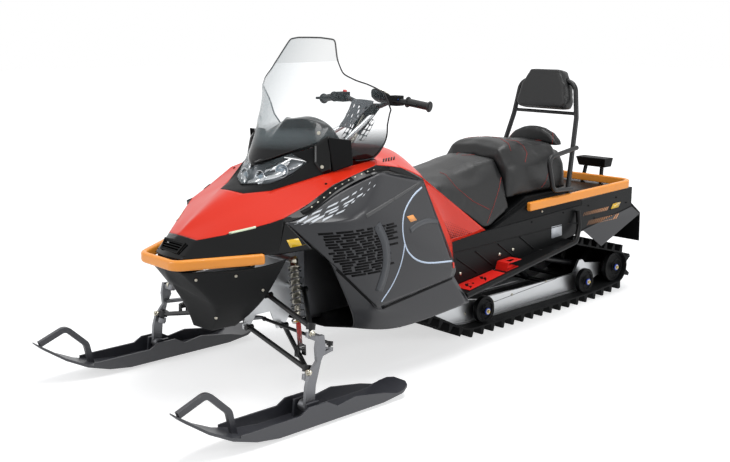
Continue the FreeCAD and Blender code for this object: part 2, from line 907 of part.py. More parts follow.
def build_rails():
    """Two slide rails with a plastic runner below, bored for the axles and pivots."""
    ground = size("lug_high") + size("belt_thick")
    low = ground + size("slider_high") + size("seat_gap")
    top = low + size("rail_high")
    rear_z = ground + size("rear_wheel_r") + size("rear_wheel_lift")
    nose_x = size("track_nose_x")
    rear_x, mid_x = size("rear_wheel_x"), size("mid_wheel_x")
    slope = math.radians(size("nose_rise"))
    bend = size("nose_bend_r") - size("slider_high") - size("seat_gap")
    centre_z = ground + size("nose_bend_r")
    run = size("rail_nose_run")
    arc = []
    for k in range(4):
        angle = slope * k / 3
        arc.append((nose_x + bend * math.sin(angle), centre_z - bend * math.cos(angle)))
    tip_low = (arc[-1][0] + run * math.cos(slope), arc[-1][1] + run * math.sin(slope))
    tip_top = (tip_low[0] - 60 * math.sin(slope), tip_low[1] + 60 * math.cos(slope))
    outline = [(mid_x - 60, low + 4)] + arc + [tip_low, tip_top]
    outline += [(nose_x - 20, top + 14), (nose_x - 110, top)]
    outline += [(mid_x + 80, top), (mid_x + 35, top + 4), (mid_x - 5, top + size("rail_hump"))]
    outline += [(mid_x - 35, top + size("rail_hump")), (mid_x - 60, top + 46)]
    outline += [(rear_x + 30, rear_z + 22), (rear_x - 34, rear_z + 20), (rear_x - 34, rear_z - 20), (rear_x + 60, rear_z - 34)]
    thick = size("rail_thick")
    rail = slab([Vector(x, 0, z) for x, z in outline], thick, Vector(0, 1, 0))
    bores = []
    for x, z in ((size("front_wheel_x"), ground + size("rail_wheel_r")),
                 (mid_x, ground + size("rail_wheel_r")), (rear_x, rear_z)):
        radius = size("axle_r") + size("seat_gap")
        bores.append(Part.makeCylinder(radius, thick * 2, Vector(x, -thick, z), Vector(0, 1, 0)))
    rail = rail.cut(Part.makeCompound(bores))
    slider = [(mid_x + 10, low)] + arc + [(arc[-1][0] + run * 0.8 * math.cos(slope), arc[-1][1] + run * 0.8 * math.sin(slope))]
    lower = []
    deep = size("slider_high")
    for k in range(4):
        angle = slope * k / 3
        lower.append((nose_x + (bend + deep) * math.sin(angle), centre_z - (bend + deep) * math.cos(angle)))
    end = slider[-1]
    lower.append((end[0] + deep * math.sin(slope), end[1] - deep * math.cos(slope)))
    shoe = slider + list(reversed(lower)) + [(mid_x + 10, low - deep)]
    shoe = slab([Vector(x, 0, z) for x, z in shoe], thick + 10, Vector(0, 1, 0))
    line = size("rail_line_y")
    rail.translate(Vector(0, line, 0))
    shoe.translate(Vector(0, line, 0))
    shape_node("skid_rails", pair(rail.fuse(shoe)))


def build_skid_arms():
    """Front and rear swing arms, from shafts across the tunnel down to the rails, and a shock."""
    wall = size("tunnel_width") / 2 - size("tunnel_wall") - size("seat_gap")
    inner = size("rail_line_y") - size("rail_thick") / 2 - size("seat_gap")
    ground = size("lug_high") + size("belt_thick")
    top = ground + size("slider_high") + size("rail_high")
    parts = []
    for x_top, z_top, x_low, z_low in ((10, 340, -265, 118), (-500, 370, size("mid_wheel_x") - 20, top + 40)):
        upper = bar(Vector(x_top, -wall, z_top), Vector(x_top, wall, z_top), 14)
        lower = bar(Vector(x_low, -inner, z_low), Vector(x_low, inner, z_low), 14)
        legs = [bar(Vector(x_top, y, z_top), Vector(x_low, y, z_low), 15) for y in (-110, 110)]
        parts.append(upper.multiFuse([lower] + legs))
    shock = []
    for x_top, z_top, x_low, z_low in ((-40, 385, -420, 110), (-590, 395, -960, 130)):
        top_at, low_at = Vector(x_top, 0, z_top), Vector(x_low, 0, z_low)
        body = bar(top_at, low_at, 16)
        middle = top_at + (low_at - top_at) * 0.5
        body = body.fuse(bar(top_at + (low_at - top_at) * 0.15, middle + (low_at - top_at) * 0.3, 22))
        shaft = bar(Vector(x_low, -inner, z_low), Vector(x_low, inner, z_low), 12)
        hanger = bar(Vector(x_top, -wall, z_top), Vector(x_top, wall, z_top), 12)
        shock.append(body.multiFuse([shaft, hanger]))
    shape_node("skid_arms", Part.makeCompound(parts + shock))


# The subframe's plates start here, in front of the engine
SUBFRAME_REAR_X = 770


def build_drive():
    """The cross shaft and its two toothed wheels, and the engine as one block."""
    wall = size("tunnel_width") / 2 - size("tunnel_wall") - size("seat_gap")
    x, z = size("sprocket_x"), size("sprocket_z")
    axle = Part.makeCylinder(16, 2 * wall, Vector(x, -wall, z), Vector(0, 1, 0))
    wheels = []
    for y in (-100, 100):
        wheels.append(Part.makeCylinder(size("sprocket_r") - size("seat_gap"), 44, Vector(x, y - 22, z), Vector(0, 1, 0)))
    shape_node("drive_axle", axle.multiFuse(wheels))
    front = size("tunnel_front_x") + size("seat_gap")
    rear_of_frame = SUBFRAME_REAR_X - size("seat_gap")
    bottom = size("engine_bottom")
    block = Part.makeBox(rear_of_frame - front, 380, 330, Vector(front, -190, bottom))
    feet = []
    for side in (1, -1):
        foot = Part.makeBox(60, 50, bottom - 200, Vector(rear_of_frame - 130, 115 * side - 25, 200))
        feet.append(seated(foot, NODES["engine_tray"].Shape, Vector(0, 0, 1)))
    shape_node("engine", block.multiFuse(feet))


def tunnel_top(x):
    """Height of the tunnel's top face at a place along it."""
    xa, xb = size("tunnel_front_x"), size("tunnel_rear_x")
    za, zb = size("tunnel_front_z"), size("tunnel_rear_z")
    return za + (zb - za) * (x - xa) / (xb - xa)


def board_top(x):
    """Height of a running board's upper face."""
    xa, xb = size("board_front_x"), size("board_rear_x")
    za, zb = size("board_front_z"), size("board_rear_z")
    return za + (zb - za) * (x - xa) / (xb - xa)


def board_edge(x):
    """Half-width of the running boards' outer edge."""
    xa, xb = size("board_front_x"), size("board_rear_x")
    ya, yb = size("board_front_y"), size("board_rear_y")
    return ya + (yb - ya) * (x - xa) / (xb - xa)


# Pressed ribs on the tunnel's sides: the upper end's x and z, then the lower end's
TUNNEL_RIBS = [(-83, 418, -229, 326), (-215, 433, -336, 349), (-380, 445, -502, 363), (-547, 456, -662, 378)]


def build_tunnel():
    """An inverted channel, open below and behind, closed at the front."""
    body = doc.addObject("PartDesign::Body", "TunnelBody")
    low_rear = "tunnel_rear_z-tunnel_tail_deep"
    outer = [
        ("tunnel_front_x", "tunnel_front_z"),
        ("tunnel_rear_x", "tunnel_rear_z"),
        ("tunnel_rear_x", low_rear),
        ("board_rear_x", "board_rear_z"),
        ("board_front_x", "board_front_z"),
        ("tunnel_front_x", "board_front_z"),
    ]
    pad(body, sketch(body, "TunnelSide", "XZ_Plane", outer), "tunnel_width")
    for k, (high_x, high_z, low_x, low_z) in enumerate(TUNNEL_RIBS):
        rib = [(high_x + 7, high_z + 3), (high_x - 7, high_z - 3), (low_x - 7, low_z - 3), (low_x + 7, low_z + 3)]
        rib = [(str(x), str(z)) for x, z in rib]
        pad(body, sketch(body, "TunnelRib%d" % k, "XZ_Plane", rib), "tunnel_width+tunnel_rib*2")
    inner = [
        ("tunnel_front_x-tunnel_wall", "tunnel_front_z-tunnel_wall"),
        ("tunnel_rear_x-10", "tunnel_rear_z-tunnel_wall"),
        ("tunnel_rear_x-10", "board_front_z-100"),
        ("tunnel_front_x-tunnel_wall", "board_front_z-100"),
    ]
    pocket(body, sketch(body, "TunnelInside", "XZ_Plane", inner), "tunnel_width-tunnel_wall*2")
    node("tunnel", body)


def build_boards():
    """Running boards with a tube along the edge that turns up to the rear deck."""
    wall = size("tunnel_width") / 2 + size("seat_gap")
    thick = size("board_thick")
    xa, xb = size("board_front_x"), size("board_rear_x")
    corners = [(xa, wall), (xa, board_edge(xa)), (xb, board_edge(xb)), (xb, wall)]
    plate = Part.Face(Part.makePolygon([Vector(x, y, board_top(x) - thick) for x, y in corners + corners[:1]]))
    plate = plate.extrude(Vector(0, 0, thick))
    radius = size("board_tube_r")
    drop = radius * 0.4
    ends = [Vector(x, board_edge(x), board_top(x) - drop) for x in (xa, xb)]
    rise = Vector(xb - 70, size("tunnel_width") / 2 + radius + size("seat_gap") + 18, board_top(xb) + 55)
    top = Vector(xb - 78, size("tunnel_width") / 2 + radius + size("seat_gap"), tunnel_top(xb) - 16)
    start = ends[0] + (ends[1] - ends[0]).normalize() * 72
    edge = tube([start, ends[1], rise, top], radius, 60)
    shape_node("running_boards", pair(plate.fuse(edge)))
    thick = size("foot_plate_thick")
    toe_front, toe_rear = size("toe_plate_front_x"), size("toe_plate_rear_x")
    y_in = wall + 4
    outline = [(toe_front, y_in), (toe_front, board_edge(toe_front) - 20), (toe_rear, board_edge(toe_rear) - 20), (toe_rear, y_in)]
    lift = Vector(0, 0, size("seat_gap"))
    face = Part.Face(Part.makePolygon([Vector(x, y, board_top(x)) + lift for x, y in outline + outline[:1]]))
    toe = face.extrude(Vector(0, 0, thick))
    notch = [(0, -40), (26, -8), (18, 6), (38, 34), (2, 8), (12, -4), (-6, -22), (-26, -12)]
    for x, y in ((-118, 330), (-232, 322)):
        corners = [Vector(x + a, y + b, board_top(x) - 20) for a, b in notch + notch[:1]]
        toe = toe.cut(Part.Face(Part.makePolygon(corners)).extrude(Vector(0, 0, 60)))
    front, rear, high = size("heel_front_x"), size("heel_rear_x"), size("heel_high")
    heel = [(front + 14, 0), (front, high), (rear, high - 6), (rear, high - 6 - thick), (front - 3, high - thick),
            (front + 14 - thick * 1.4, thick), (rear + 20, thick), (rear + 20, 0)]
    heel = slab([Vector(x, 0, board_top(x) + size("seat_gap") + z) for x, z in heel],
                board_edge(rear) - 20 - y_in, Vector(0, 1, 0))
    heel.translate(Vector(0, (board_edge(rear) - 20 + y_in) / 2, 0))
    slot = [(front - 24, y_in + 24), (front - 30, y_in + 56), (rear + 28, y_in + 52), (rear + 22, y_in + 30)]
    slot = [Vector(x, y, board_top(x) + high - 20) for x, y in slot + slot[:1]]
    heel = heel.cut(Part.Face(Part.makePolygon(slot)).extrude(Vector(0, 0, 40)))
    shape_node("foot_plates", pair(Part.makeCompound([toe, heel])))


def build_rear():
    """Seat base, cargo deck, bumper, fenders, flap, lamp pod and hitch."""
    half = size("tunnel_width") / 2
    gap = size("seat_gap")
    front, rear = size("seat_base_front_x"), size("seat_base_rear_x")
    top = size("seat_base_top")
    step = size("deck_step_x")
    low = [Vector(front, 0, tunnel_top(front) + gap), Vector(rear, 0, tunnel_top(rear) + gap)]
    side = [low[0], Vector(step, 0, top), Vector(rear, 0, top), low[1]]
    cover = [low[0], Vector(step, 0, top - 22), Vector(rear - 75, 0, 640), Vector(rear - 75, 0, tunnel_top(rear - 75) + gap)]
    thick = 30
    base = [slab(side, 2 * (half - thick), Vector(0, 1, 0))]
    for place in (half - thick / 2, thick / 2 - half):
        plate = slab(cover, thick, Vector(0, 1, 0))
        plate.translate(Vector(0, place, 0))
        base.append(plate)
    shape_node("seat_base", base[0].multiFuse(base[1:]))
    x_rear = size("tunnel_rear_x")
    x_front = rear - gap * 2 - 75
    deck = [Vector(x_front, 0, tunnel_top(x_front) + gap), Vector(x_front, 0, tunnel_top(x_front) + size("deck_high"))]
    deck += [Vector(x_rear, 0, tunnel_top(x_rear) + size("deck_high")), Vector(x_rear, 0, tunnel_top(x_rear) + gap)]
    raised = [(x_front - 20, 0), (x_front - 20, size("deck_rib")), (x_rear + 60, size("deck_rib")), (x_rear + 60, 0)]
    raised = [Vector(x, 0, tunnel_top(x) + size("deck_high") + z) for x, z in raised]
    deck = slab(deck, 2 * half, Vector(0, 1, 0)).fuse(slab(raised, size("deck_pad_width"), Vector(0, 1, 0)))
    shape_node("cargo_deck", deck)
    deep, high = size("bumper_deep"), size("bumper_high")
    tip, back = size("rear_bar_tip_x"), size("rear_bar_back_x")
    out = half + deep / 2 + gap
    z_tip, z_back = size("rear_bar_tip_z"), size("bumper_rear_z")
    path = [Vector(tip, out, z_tip), Vector(back, out, z_back), Vector(back, -out, z_back), Vector(tip, -out, z_tip)]
    shape_node("rear_bumper", sweep_rect(path, deep, high, 70, Vector(z_tip - z_back, 0, tip - back).normalize()))
    out = half + size("panel_thick") + 2 * gap
    skin = [Vector(-1075, out, 420), Vector(-1534, out, 492), Vector(-1618, out, 440), Vector(-1227, out + 18, 312)]
    fender = sheet_solid([[skin[0], skin[1]], [skin[3], skin[2]]], size("panel_thick"))
    shape_node("rear_fenders", pair(fender))
    drop = [(x_rear - gap, 512), (-1629, 446), (-1635, 281), (-1629, 281), (-1623, 440), (x_rear - gap, 504)]
    shape_node("snow_flap", slab([Vector(x, 0, z) for x, z in drop], 2 * half, Vector(0, 1, 0)))
    post_z = tunnel_top(x_rear) + size("deck_high") + gap
    x_post = back - deep / 2 - 13 - gap
    parts = [Part.makeBox(24, 16, 96, Vector(x_post - 12, y - 8, post_z)) for y in (-62, 62)]
    parts.append(Part.makeBox(84, 200, 52, Vector(x_post - 60, -100, post_z + 90)))
    shape_node("tail_lamp_pod", parts[0].multiFuse(parts[1:]))
    shape_node("tail_lamp_lens", Part.makeBox(5, 168, 30, Vector(x_post - 65 - gap, -84, post_z + 100)))
    hitch_z, hitch_half = size("hitch_z"), size("hitch_width") / 2
    tongue = [(x_rear + 20, -hitch_half), (x_rear + 20, hitch_half), (x_rear - 60, hitch_half), (x_rear - 101, 22),
              (x_rear - 101, -22), (x_rear - 60, -hitch_half)]
    tongue = [Vector(x, y, hitch_z) for x, y in tongue]
    hitch = Part.Face(Part.makePolygon(tongue + tongue[:1])).extrude(Vector(0, 0, 10))
    under = tunnel_top(x_rear + 20) - size("tunnel_wall") - 2 * gap
    hitch = hitch.fuse(Part.makeBox(8, 2 * hitch_half, under - hitch_z, Vector(x_rear + 12, -hitch_half, hitch_z)))
    hole = Part.makeCylinder(size("hitch_hole_r"), 40, Vector(size("hitch_hole_x"), 0, hitch_z - 15))
    shape_node("tow_hitch", hitch.cut(hole))


def ring(x, low, low_half, mid, mid_half, top, top_half):
    """A seat's cross-section: two lower, two waist and three upper corners."""
    return [
        Vector(x, -low_half, low),
        Vector(x, low_half, low),
        Vector(x, mid_half, mid),
        Vector(x, top_half, top - 16),
        Vector(x, 0, top),
        Vector(x, -top_half, top - 16),
        Vector(x, -mid_half, mid),
    ]


# The back rest's upper part leans back by this many degrees
BACK_LEAN = 9.4


def build_seats():
    """Rider's seat, raised passenger's seat, lumbar bolster and the tall back pad."""
    base = tunnel_top(-335) + size("seat_gap")
    rider = [
        ring(52, 752, 268, 778, 235, 800, 120),
        ring(-60, 672, 266, 745, 232, 806, 150),
        ring(-180, 598, 266, 730, 226, 818, 150),
        ring(-290, base, 266, 730, 222, 838, 150),
        ring(-335, base, 266, 735, 220, 848, 150),
        ring(-490, 606, 262, 760, 214, 868, 150),
    ]
    shape_node("rider_seat", loft(rider))
    gap = size("seat_gap")
    top = size("seat_base_top") + gap
    passenger = [
        ring(-490 - gap, 640, 225, 800, 222, 905, 160),
        ring(-545, top, 240, 800, 232, 924, 165),
        ring(-625, top, 236, 795, 236, 930, 170),
        ring(-760, top, 232, 780, 226, 914, 170),
        ring(-925, top, 228, 780, 214, 900, 170),
        ring(-945, top, 228, 780, 214, 868, 170),
        ring(-985, top, 226, 780, 212, 868, 170),
    ]
    shape_node("passenger_seat", loft(passenger))
    bolster = []
    for k in range(9):
        angle = math.pi * k / 8
        bolster.append(Vector(0, 172 * math.cos(angle), 112 * math.sin(angle)))
    shape = slab(bolster, 58, Vector(1, 0, 0))
    shape.translate(Vector(-985, 0, 868 - 16 + gap))
    block = Part.makeBox(200, 400, 100, Vector(-1085, -200, 868 + gap))
    shape_node("seat_bolster", shape.common(block))
    deep = size("head_pad_deep")
    pad_half = [(-103, 150), (-70, 168), (20, 150), (103, 100)]
    outline = [Vector(0, y, z) for z, y in pad_half] + [Vector(0, -y, z) for z, y in reversed(pad_half)]
    shape = slab(outline, deep, Vector(1, 0, 0))
    lean = Rotation(Vector(0, 1, 0), -BACK_LEAN)
    seat = Vector(size("head_pad_x"), 0, size("head_pad_z")) - lean.multVec(Vector(deep / 2, 0, 0))
    shape.Placement = Placement(seat, lean)
    shape_node("back_pad", shape.cut(back_frame(size("frame_r") + gap)))


# The back rest's tube, left half: its foot, its knee and its upper corner
BACK_FRAME = [Vector(-948, 256, 641), Vector(-1066, 208, 1010), Vector(-1088, 178, 1196)]


def back_frame(radius):
    """The back rest's bent tube at a radius."""
    outline = BACK_FRAME + [Vector(corner.x, -corner.y, corner.z) for corner in reversed(BACK_FRAME)]
    return tube(outline, radius, 60)


def build_back_frame():
    """The back rest's flat legs, bolted outside the seat base, and the grab handles."""
    radius = size("frame_r")
    low, high = BACK_FRAME[1], BACK_FRAME[2]
    cross_at = low + (high - low) * 0.12
    cross = bar(Vector(cross_at.x, -cross_at.y, cross_at.z), cross_at, radius * 0.7)
    shape_node("backrest_frame", back_frame(radius).fuse(cross))
    handles = []
    route = [Vector(-1018, 252.7, 862), Vector(-720, 296, 838), Vector(-772, 296, 668), Vector(-945, 281, 656)]
    for side in (1, -1):
        points = [Vector(p.x, p.y * side, p.z) for p in route]
        handles.append(tube(points, 12, 40))
    shape_node("grab_handles", Part.makeCompound(handles))


# The wind shield's columns on its left half: the place across, the corner whose height the
# foot keeps, how far above that corner the foot is, and the height of the top
SHIELD_COLUMNS = [
    (0, "cover_low_mid", 0, 1442), (75, "cover_low_mid", 27, 1441), (148, "cover_low_a", 0, 1433),
    (195, "cover_low_b", 2, 1352), (240, "cover_low_c", 6, 1297), (262, "", 2.2, 1287), (300, "", 0.3, 1270),
    (340, "mouth_d", 73, 1256), (380, "mouth_d", 150, 1236), (403, "mouth_d", 223, 1214),
]


def mouth_height(x):
    """The height of the hood's side opening edge at a place along the machine."""
    line = [point(name) for name in ("mouth_a", "mouth_b", "mouth_c", "mouth_d")]
    for front, rear in zip(line, line[1:]):
        if x >= rear.x or rear is line[-1]:
            return front.z + (rear.z - front.z) * (front.x - x) / (front.x - rear.x)


def shield_foot(y, corner, lift):
    """The height of a column's foot: over a named corner, or where the sheet meets the hood's edge."""
    if corner:
        return point(corner).z + lift
    low, high = 600, 1200
    for _ in range(40):
        z = (low + high) / 2
        if z - lift > mouth_height(shield_point(y, z).x):
            high = z
        else:
            low = z
    return z


def shield_point(y, z):
    """The wind shield's outer face: a straight raked keel that wraps back to the sides."""
    keel = 894 - 0.611 * (z - 918)
    wrap = 0.00453 + (z - 937) * (0.00216 - 0.00453) / 150
    if z > 1087:
        wrap = 0.00216 + (min(z, 1221) - 1087) * (0.00118 - 0.00216) / 134
    return Vector(keel - min(wrap, 0.0052) * y * y, y, z)


def build_shield():
    """Wind shield, its mounts, the lamp housing, lens and instrument cover."""
    half = [(y, shield_foot(y, corner, lift), top) for y, corner, lift, top in SHIELD_COLUMNS]
    columns = [(-y, low, high) for y, low, high in reversed(half[1:])] + half
    rows = 6
    grid = []
    for y, low, high in columns:
        grid.append([shield_point(y, low + (high - low) * k / (rows - 1)) for k in range(rows)])
    shape_node("windshield", sheet_solid(grid, size("glass_thick")))
    back = Vector(-0.9, 0.436, 0).normalize()
    out = Vector(0.436, 0.9, 0).normalize()
    foot = Vector(690, 252, 0) + out * 9
    outline = []
    for along, lift in ((0, 145), (96, 112), (104, 8), (18, -0.6)):
        place = foot + back * along
        outline.append(place + Vector(0, 0, mouth_height(place.x) + lift))
    mount = Part.Face(Part.makePolygon(outline + outline[:1])).extrude(out * 9)
    shape_node("windshield_mounts", pair(mount))


# Where the front suspension arms pivot on the subframe, left side, front one first
UPPER_MOUNTS = [Vector(982, 224, 430), Vector(812, 236, 426)]
LOWER_MOUNTS = [Vector(1028, 152, 290), Vector(850, 152, 262)]
# The front coil starts this far below the shock's upper eye, and takes this share of its length
SPRING_START = 34
SPRING_SHARE = 0.6


def build_front():
    """Front bumper, subframe, suspension arms, shocks and springs."""
    deep, high = size("bumper_deep"), size("bumper_high")
    z_front = size("bumper_front_z")
    path = [Vector(1052, 299.5, z_front + 14), Vector(1345, 118, z_front), Vector(1345, -118, z_front), Vector(1052, -299.5, z_front + 14)]
    shape_node("front_bumper", sweep_rect(path, deep, high, 60, Vector(0, 0, 1)))
    x_axis = steering_ball().x + size("steer_arm")
    foot_z, plate_y, plate_thick = size("frame_foot_z"), size("frame_plate_y"), size("frame_plate_thick")
    sides = [(SUBFRAME_REAR_X, foot_z), (1028, foot_z), (1000, 400), (950, 640), (880, 690), (SUBFRAME_REAR_X, 660)]
    rear_foot = [(780, foot_z), (900, foot_z), (868, 246), (832, 246)]
    front_foot = [(975, foot_z), (1028, foot_z), (1040, 300), (1038, 278), (1010, 278)]
    parts, feet = [], []
    for side in (1, -1):
        for outline, found in ((sides, parts), (rear_foot, feet), (front_foot, feet)):
            plate = slab([Vector(x, 0, z) for x, z in outline], plate_thick, Vector(0, 1, 0))
            drop = size("seat_gap") if found is feet else 0
            plate.translate(Vector(0, plate_y * side, -drop))
            found.append(plate)
    for x, z in ((800, foot_z + 20), (x_axis - 10, foot_z + 22), (900, 650), (800, 600)):
        parts.append(bar(Vector(x, -plate_y, z), Vector(x, plate_y, z), 12))
    boss_r = size("crank_pin_r") + 9
    parts.append(Part.makeCylinder(boss_r, 36, Vector(x_axis, 0, foot_z - 10)))
    top = Vector(size("shock_top_x"), size("shock_top_y"), size("shock_top_z"))
    for side in (1, -1):
        parts.append(bar(Vector(top.x, plate_y * side, top.z), Vector(top.x, (top.y - 19.3) * side, top.z), 12))
        for place in UPPER_MOUNTS:
            inner = Vector(place.x, (plate_y - 4) * side, place.z)
            parts.append(bar(inner, Vector(place.x, (place.y - 14.3) * side, place.z), 11))
        tab = Part.makeBox(260, 8, 60, Vector(960, plate_y * side - 4, 420))
        parts.append(seated(tab, NODES["belly_pan"].Shape, Vector(-1, 0, 0)))
    pin_bore = Part.makeCylinder(size("crank_pin_r") + 0.3, 80, Vector(x_axis, 0, foot_z - 30))
    tower = parts[0].multiFuse(parts[1:]).cut(pin_bore)
    mounted = []
    for foot in feet:
        side = 1 if foot.CenterOfMass.y > 0 else -1
        place = min(LOWER_MOUNTS, key=lambda spot: abs(spot.x - foot.CenterOfMass.x))
        stub = bar(Vector(place.x, (plate_y - 4) * side, place.z), Vector(place.x, (place.y - 14.3) * side, place.z), 11)
        mounted.append(foot.fuse(stub))
    shape_node("front_subframe", Part.makeCompound([tower] + mounted))
    low = Vector(size("ball_low_x"), size("ball_low_y"), size("ball_low_z"))
    high_ball = Vector(size("ball_top_x"), size("ball_top_y"), size("ball_top_z"))
    up = (high_ball - low).normalize()
    radius = size("arm_tube_r")
    pin = size("ball_pin_r")
    arms = []
    for ball, inner_points in ((low, LOWER_MOUNTS), (high_ball, UPPER_MOUNTS)):
        eye = ball + up * 14
        pieces = [bar(eye, end, radius) for end in inner_points]
        pieces += [Part.makeCylinder(radius + 1, 34, Vector(end.x - 17, end.y, end.z), Vector(1, 0, 0)) for end in inner_points]
        pieces.append(Part.makeCylinder(18, 26, ball + up * 5, up))
        pieces.append(Part.makeCylinder(pin, 40, ball - up * 30, up))
        arms.append(pieces[0].multiFuse(pieces[1:]))
    foot = Vector(size("shock_low_x"), size("shock_low_y"), size("shock_low_z"))
    ears = [slab([foot + Vector(x, -11, -34), foot + Vector(x, 11, -34), foot + Vector(x, 9, 8), foot + Vector(x, -9, 8)],
                 6, Vector(1, 0, 0)) for x in (-18, 18)]
    ears.append(bar(foot + Vector(-22, 0, 0), foot + Vector(22, 0, 0), 6))
    arms[0] = arms[0].multiFuse(ears)
    shape_node("front_arms", Part.makeCompound([pair(arms[0]), pair(arms[1])]))
    axis = foot - top
    eye = Part.makeCylinder(13, 26, foot - Vector(13, 0, 0), Vector(1, 0, 0))
    unit = (foot - top).normalize()
    seats = []
    wire, gap = size("spring_wire_r"), size("seat_gap")
    for start in (SPRING_START - wire - gap - 4, SPRING_START + axis.Length * SPRING_SHARE + wire + gap):
        seats.append(bar(top + unit * start, top + unit * (start + 4), size("spring_r") + 1))
    shock = bar(top, foot, 10).multiFuse([bar(top, top + axis * 0.5, 17), Part.makeSphere(19, top), eye] + seats)
    shock = shock.cut(bar(foot - Vector(20, 0, 0), foot + Vector(20, 0, 0), 6.3))
    shape_node("front_shocks", Part.makeCompound([pair(shock), pair(spring())]))


def spring():
    """The coil round the front shock, as one swept bar."""
    top = Vector(size("shock_top_x"), size("shock_top_y"), size("shock_top_z"))
    foot = Vector(size("shock_low_x"), size("shock_low_y"), size("shock_low_z"))
    axis = (foot - top)
    length = axis.Length * SPRING_SHARE
    turns = 8
    radius = size("spring_r")
    helix = Part.makeHelix(length / turns, length, radius)
    section = Part.Wire(Part.makeCircle(size("spring_wire_r"), Vector(radius, 0, 0), Vector(0, 1, 0)))
    coil = helix.makePipeShell([section], True, True)
    coil.Placement = Placement(top + axis.normalize() * SPRING_START, Rotation(Vector(0, 0, 1), axis))
    return coil


def spindle_shape():
    """A cast spindle: bosses on the king pin, a plate down to the ski and a steering arm."""
    low = Vector(size("ball_low_x"), size("ball_low_y"), size("ball_low_z"))
    high = Vector(size("ball_top_x"), size("ball_top_y"), size("ball_top_z"))
    up = (high - low).normalize()
    bolt = Vector(size("ski_pivot_x"), size("ski_stance") / 2, size("ski_pivot_z"))
    plate = [(high.x - 14, high.z - 4), (high.x + 16, high.z - 2), (high.x + 26, high.z - 50), (high.x + 22, 240),
             (low.x + 20, low.z + 4), (low.x + 34, low.z - 40), (bolt.x + 22, bolt.z + 4), (bolt.x + 16, bolt.z - 18),
             (bolt.x - 16, bolt.z - 18), (bolt.x - 23, bolt.z), (low.x - 12, low.z - 40), (low.x - 40, 240), (high.x - 22, high.z - 60)]
    web = slab([Vector(x, 0, z) for x, z in plate], 16, Vector(0, 1, 0))
    web.translate(Vector(0, bolt.y + 15, 0))
    foot = Part.makeCylinder(23, 46, Vector(bolt.x, bolt.y - 23, bolt.z), Vector(0, 1, 0))
    bosses = []
    for ball in (low, high):
        boss = Part.makeCylinder(17, 22, ball - up * 26, up)
        bosses.append(boss)
        bosses.append(Part.makeBox(30, bolt.y + 10 - ball.y, 18, Vector(ball.x - 15, ball.y, ball.z - 26)))
    arm_ball = steering_ball()
    arm = Part.makeCylinder(15, 16, arm_ball - up * 16, up)
    link = slab([Vector(arm_ball.x, arm_ball.y - 12, arm_ball.z - 9), Vector(arm_ball.x, arm_ball.y + 12, arm_ball.z - 9),
                 Vector(high.x + 10, bolt.y + 12, arm_ball.z - 9), Vector(high.x + 10, bolt.y - 8, arm_ball.z - 9)], 14, Vector(0, 0, 1))
    whole = web.multiFuse([foot, arm, link] + bosses)
    bores = [Part.makeCylinder(size("ski_bolt_r") + 0.3, 60, Vector(bolt.x, bolt.y - 30, bolt.z), Vector(0, 1, 0))]
    for ball in (low, high):
        bores.append(Part.makeCylinder(size("ball_pin_r") + 0.3, 50, ball - up * 45, up))
    bores.append(Part.makeCylinder(size("rod_pin_r") + 0.3, 60, arm_ball - up * 30, up))
    return whole.cut(Part.makeCompound(bores))


def kingpin_at(z):
    """The king pin's left axis at a height."""
    low = Vector(size("ball_low_x"), size("ball_low_y"), size("ball_low_z"))
    high = Vector(size("ball_top_x"), size("ball_top_y"), size("ball_top_z"))
    return low + (high - low) * ((z - low.z) / (high.z - low.z))


def steering_ball():
    """The ball at the end of the left steering arm."""
    return kingpin_at(size("tie_rod_z")) - Vector(size("steer_arm"), 0, 0)


def ski_shape():
    """A plastic ski: upturned sole with a keel, walled trough and a hand loop in front."""
    y = size("ski_stance") / 2
    wide = size("ski_width")
    keel, sole = size("keel_high"), size("ski_sole")
    tip, tail = size("ski_tip_x"), size("ski_tail_x")
    line = [(tail, 42), (tail + 60, 24), (tail + 160, keel), (1230, keel), (1330, keel + 14), (1430, 56), (1520, 102), (1600, 158), (tip, 190)]
    upper = [(x, z + sole) for x, z in line[:-1]] + [(tip, 196)]
    base = slab([Vector(x, y, z) for x, z in line + list(reversed(upper))], wide, Vector(0, 1, 0))
    rib = slab([Vector(x, y, z) for x, z in ((700, 0), (1240, 0), (1330, 22), (1330, 30), (1230, keel + 2), (700, keel + 2))], 22, Vector(0, 1, 0))
    walls = []
    top = size("ski_wall_high")
    edge = [(620, 30), (700, 52), (860, top), (950, top - 14), (1000, top + 14), (1090, top + 14), (1130, top - 8), (1250, top - 8), (1400, 70), (1400, 50), (1330, 34), (1230, keel + 4), (700, keel + 4)]
    for side in (1, -1):
        wall = slab([Vector(x, 0, z) for x, z in edge], 8, Vector(0, 1, 0))
        wall.translate(Vector(0, y + side * (wide / 2 - 4), 0))
        walls.append(wall)
        ear = slab([Vector(x, 0, z) for x, z in ((1005, keel + 4), (1085, keel + 4), (1075, 92), (1015, 92))], 12, Vector(0, 1, 0))
        ear.translate(Vector(0, y + side * 36, 0))
        walls.append(ear)
    loop = sweep_rect([Vector(1380, y, 44), Vector(1400, y, 140), Vector(1491, y, 228), Vector(1610, y, 182)], 24, 20, 36, Vector(0, 1, 0))
    bolt = Part.makeCylinder(size("ski_bolt_r"), wide - 20, Vector(size("ski_pivot_x"), y - wide / 2 + 10, size("ski_pivot_z")), Vector(0, 1, 0))
    whole = base.multiFuse([rib] + walls)
    half = wide / 2
    plan = [(tail, 34), (tail + 16, half - 14), (tail + 50, half), (1350, half), (1440, half - 6), (1520, half - 20), (1590, half - 45), (tip, 8)]
    plan = [Vector(x, y + w, 0) for x, w in plan] + [Vector(x, y - w, 0) for x, w in reversed(plan)]
    whole = whole.common(Part.Face(Part.makePolygon(plan + plan[:1])).extrude(Vector(0, 0, 400)))
    return whole.multiFuse([loop, bolt])


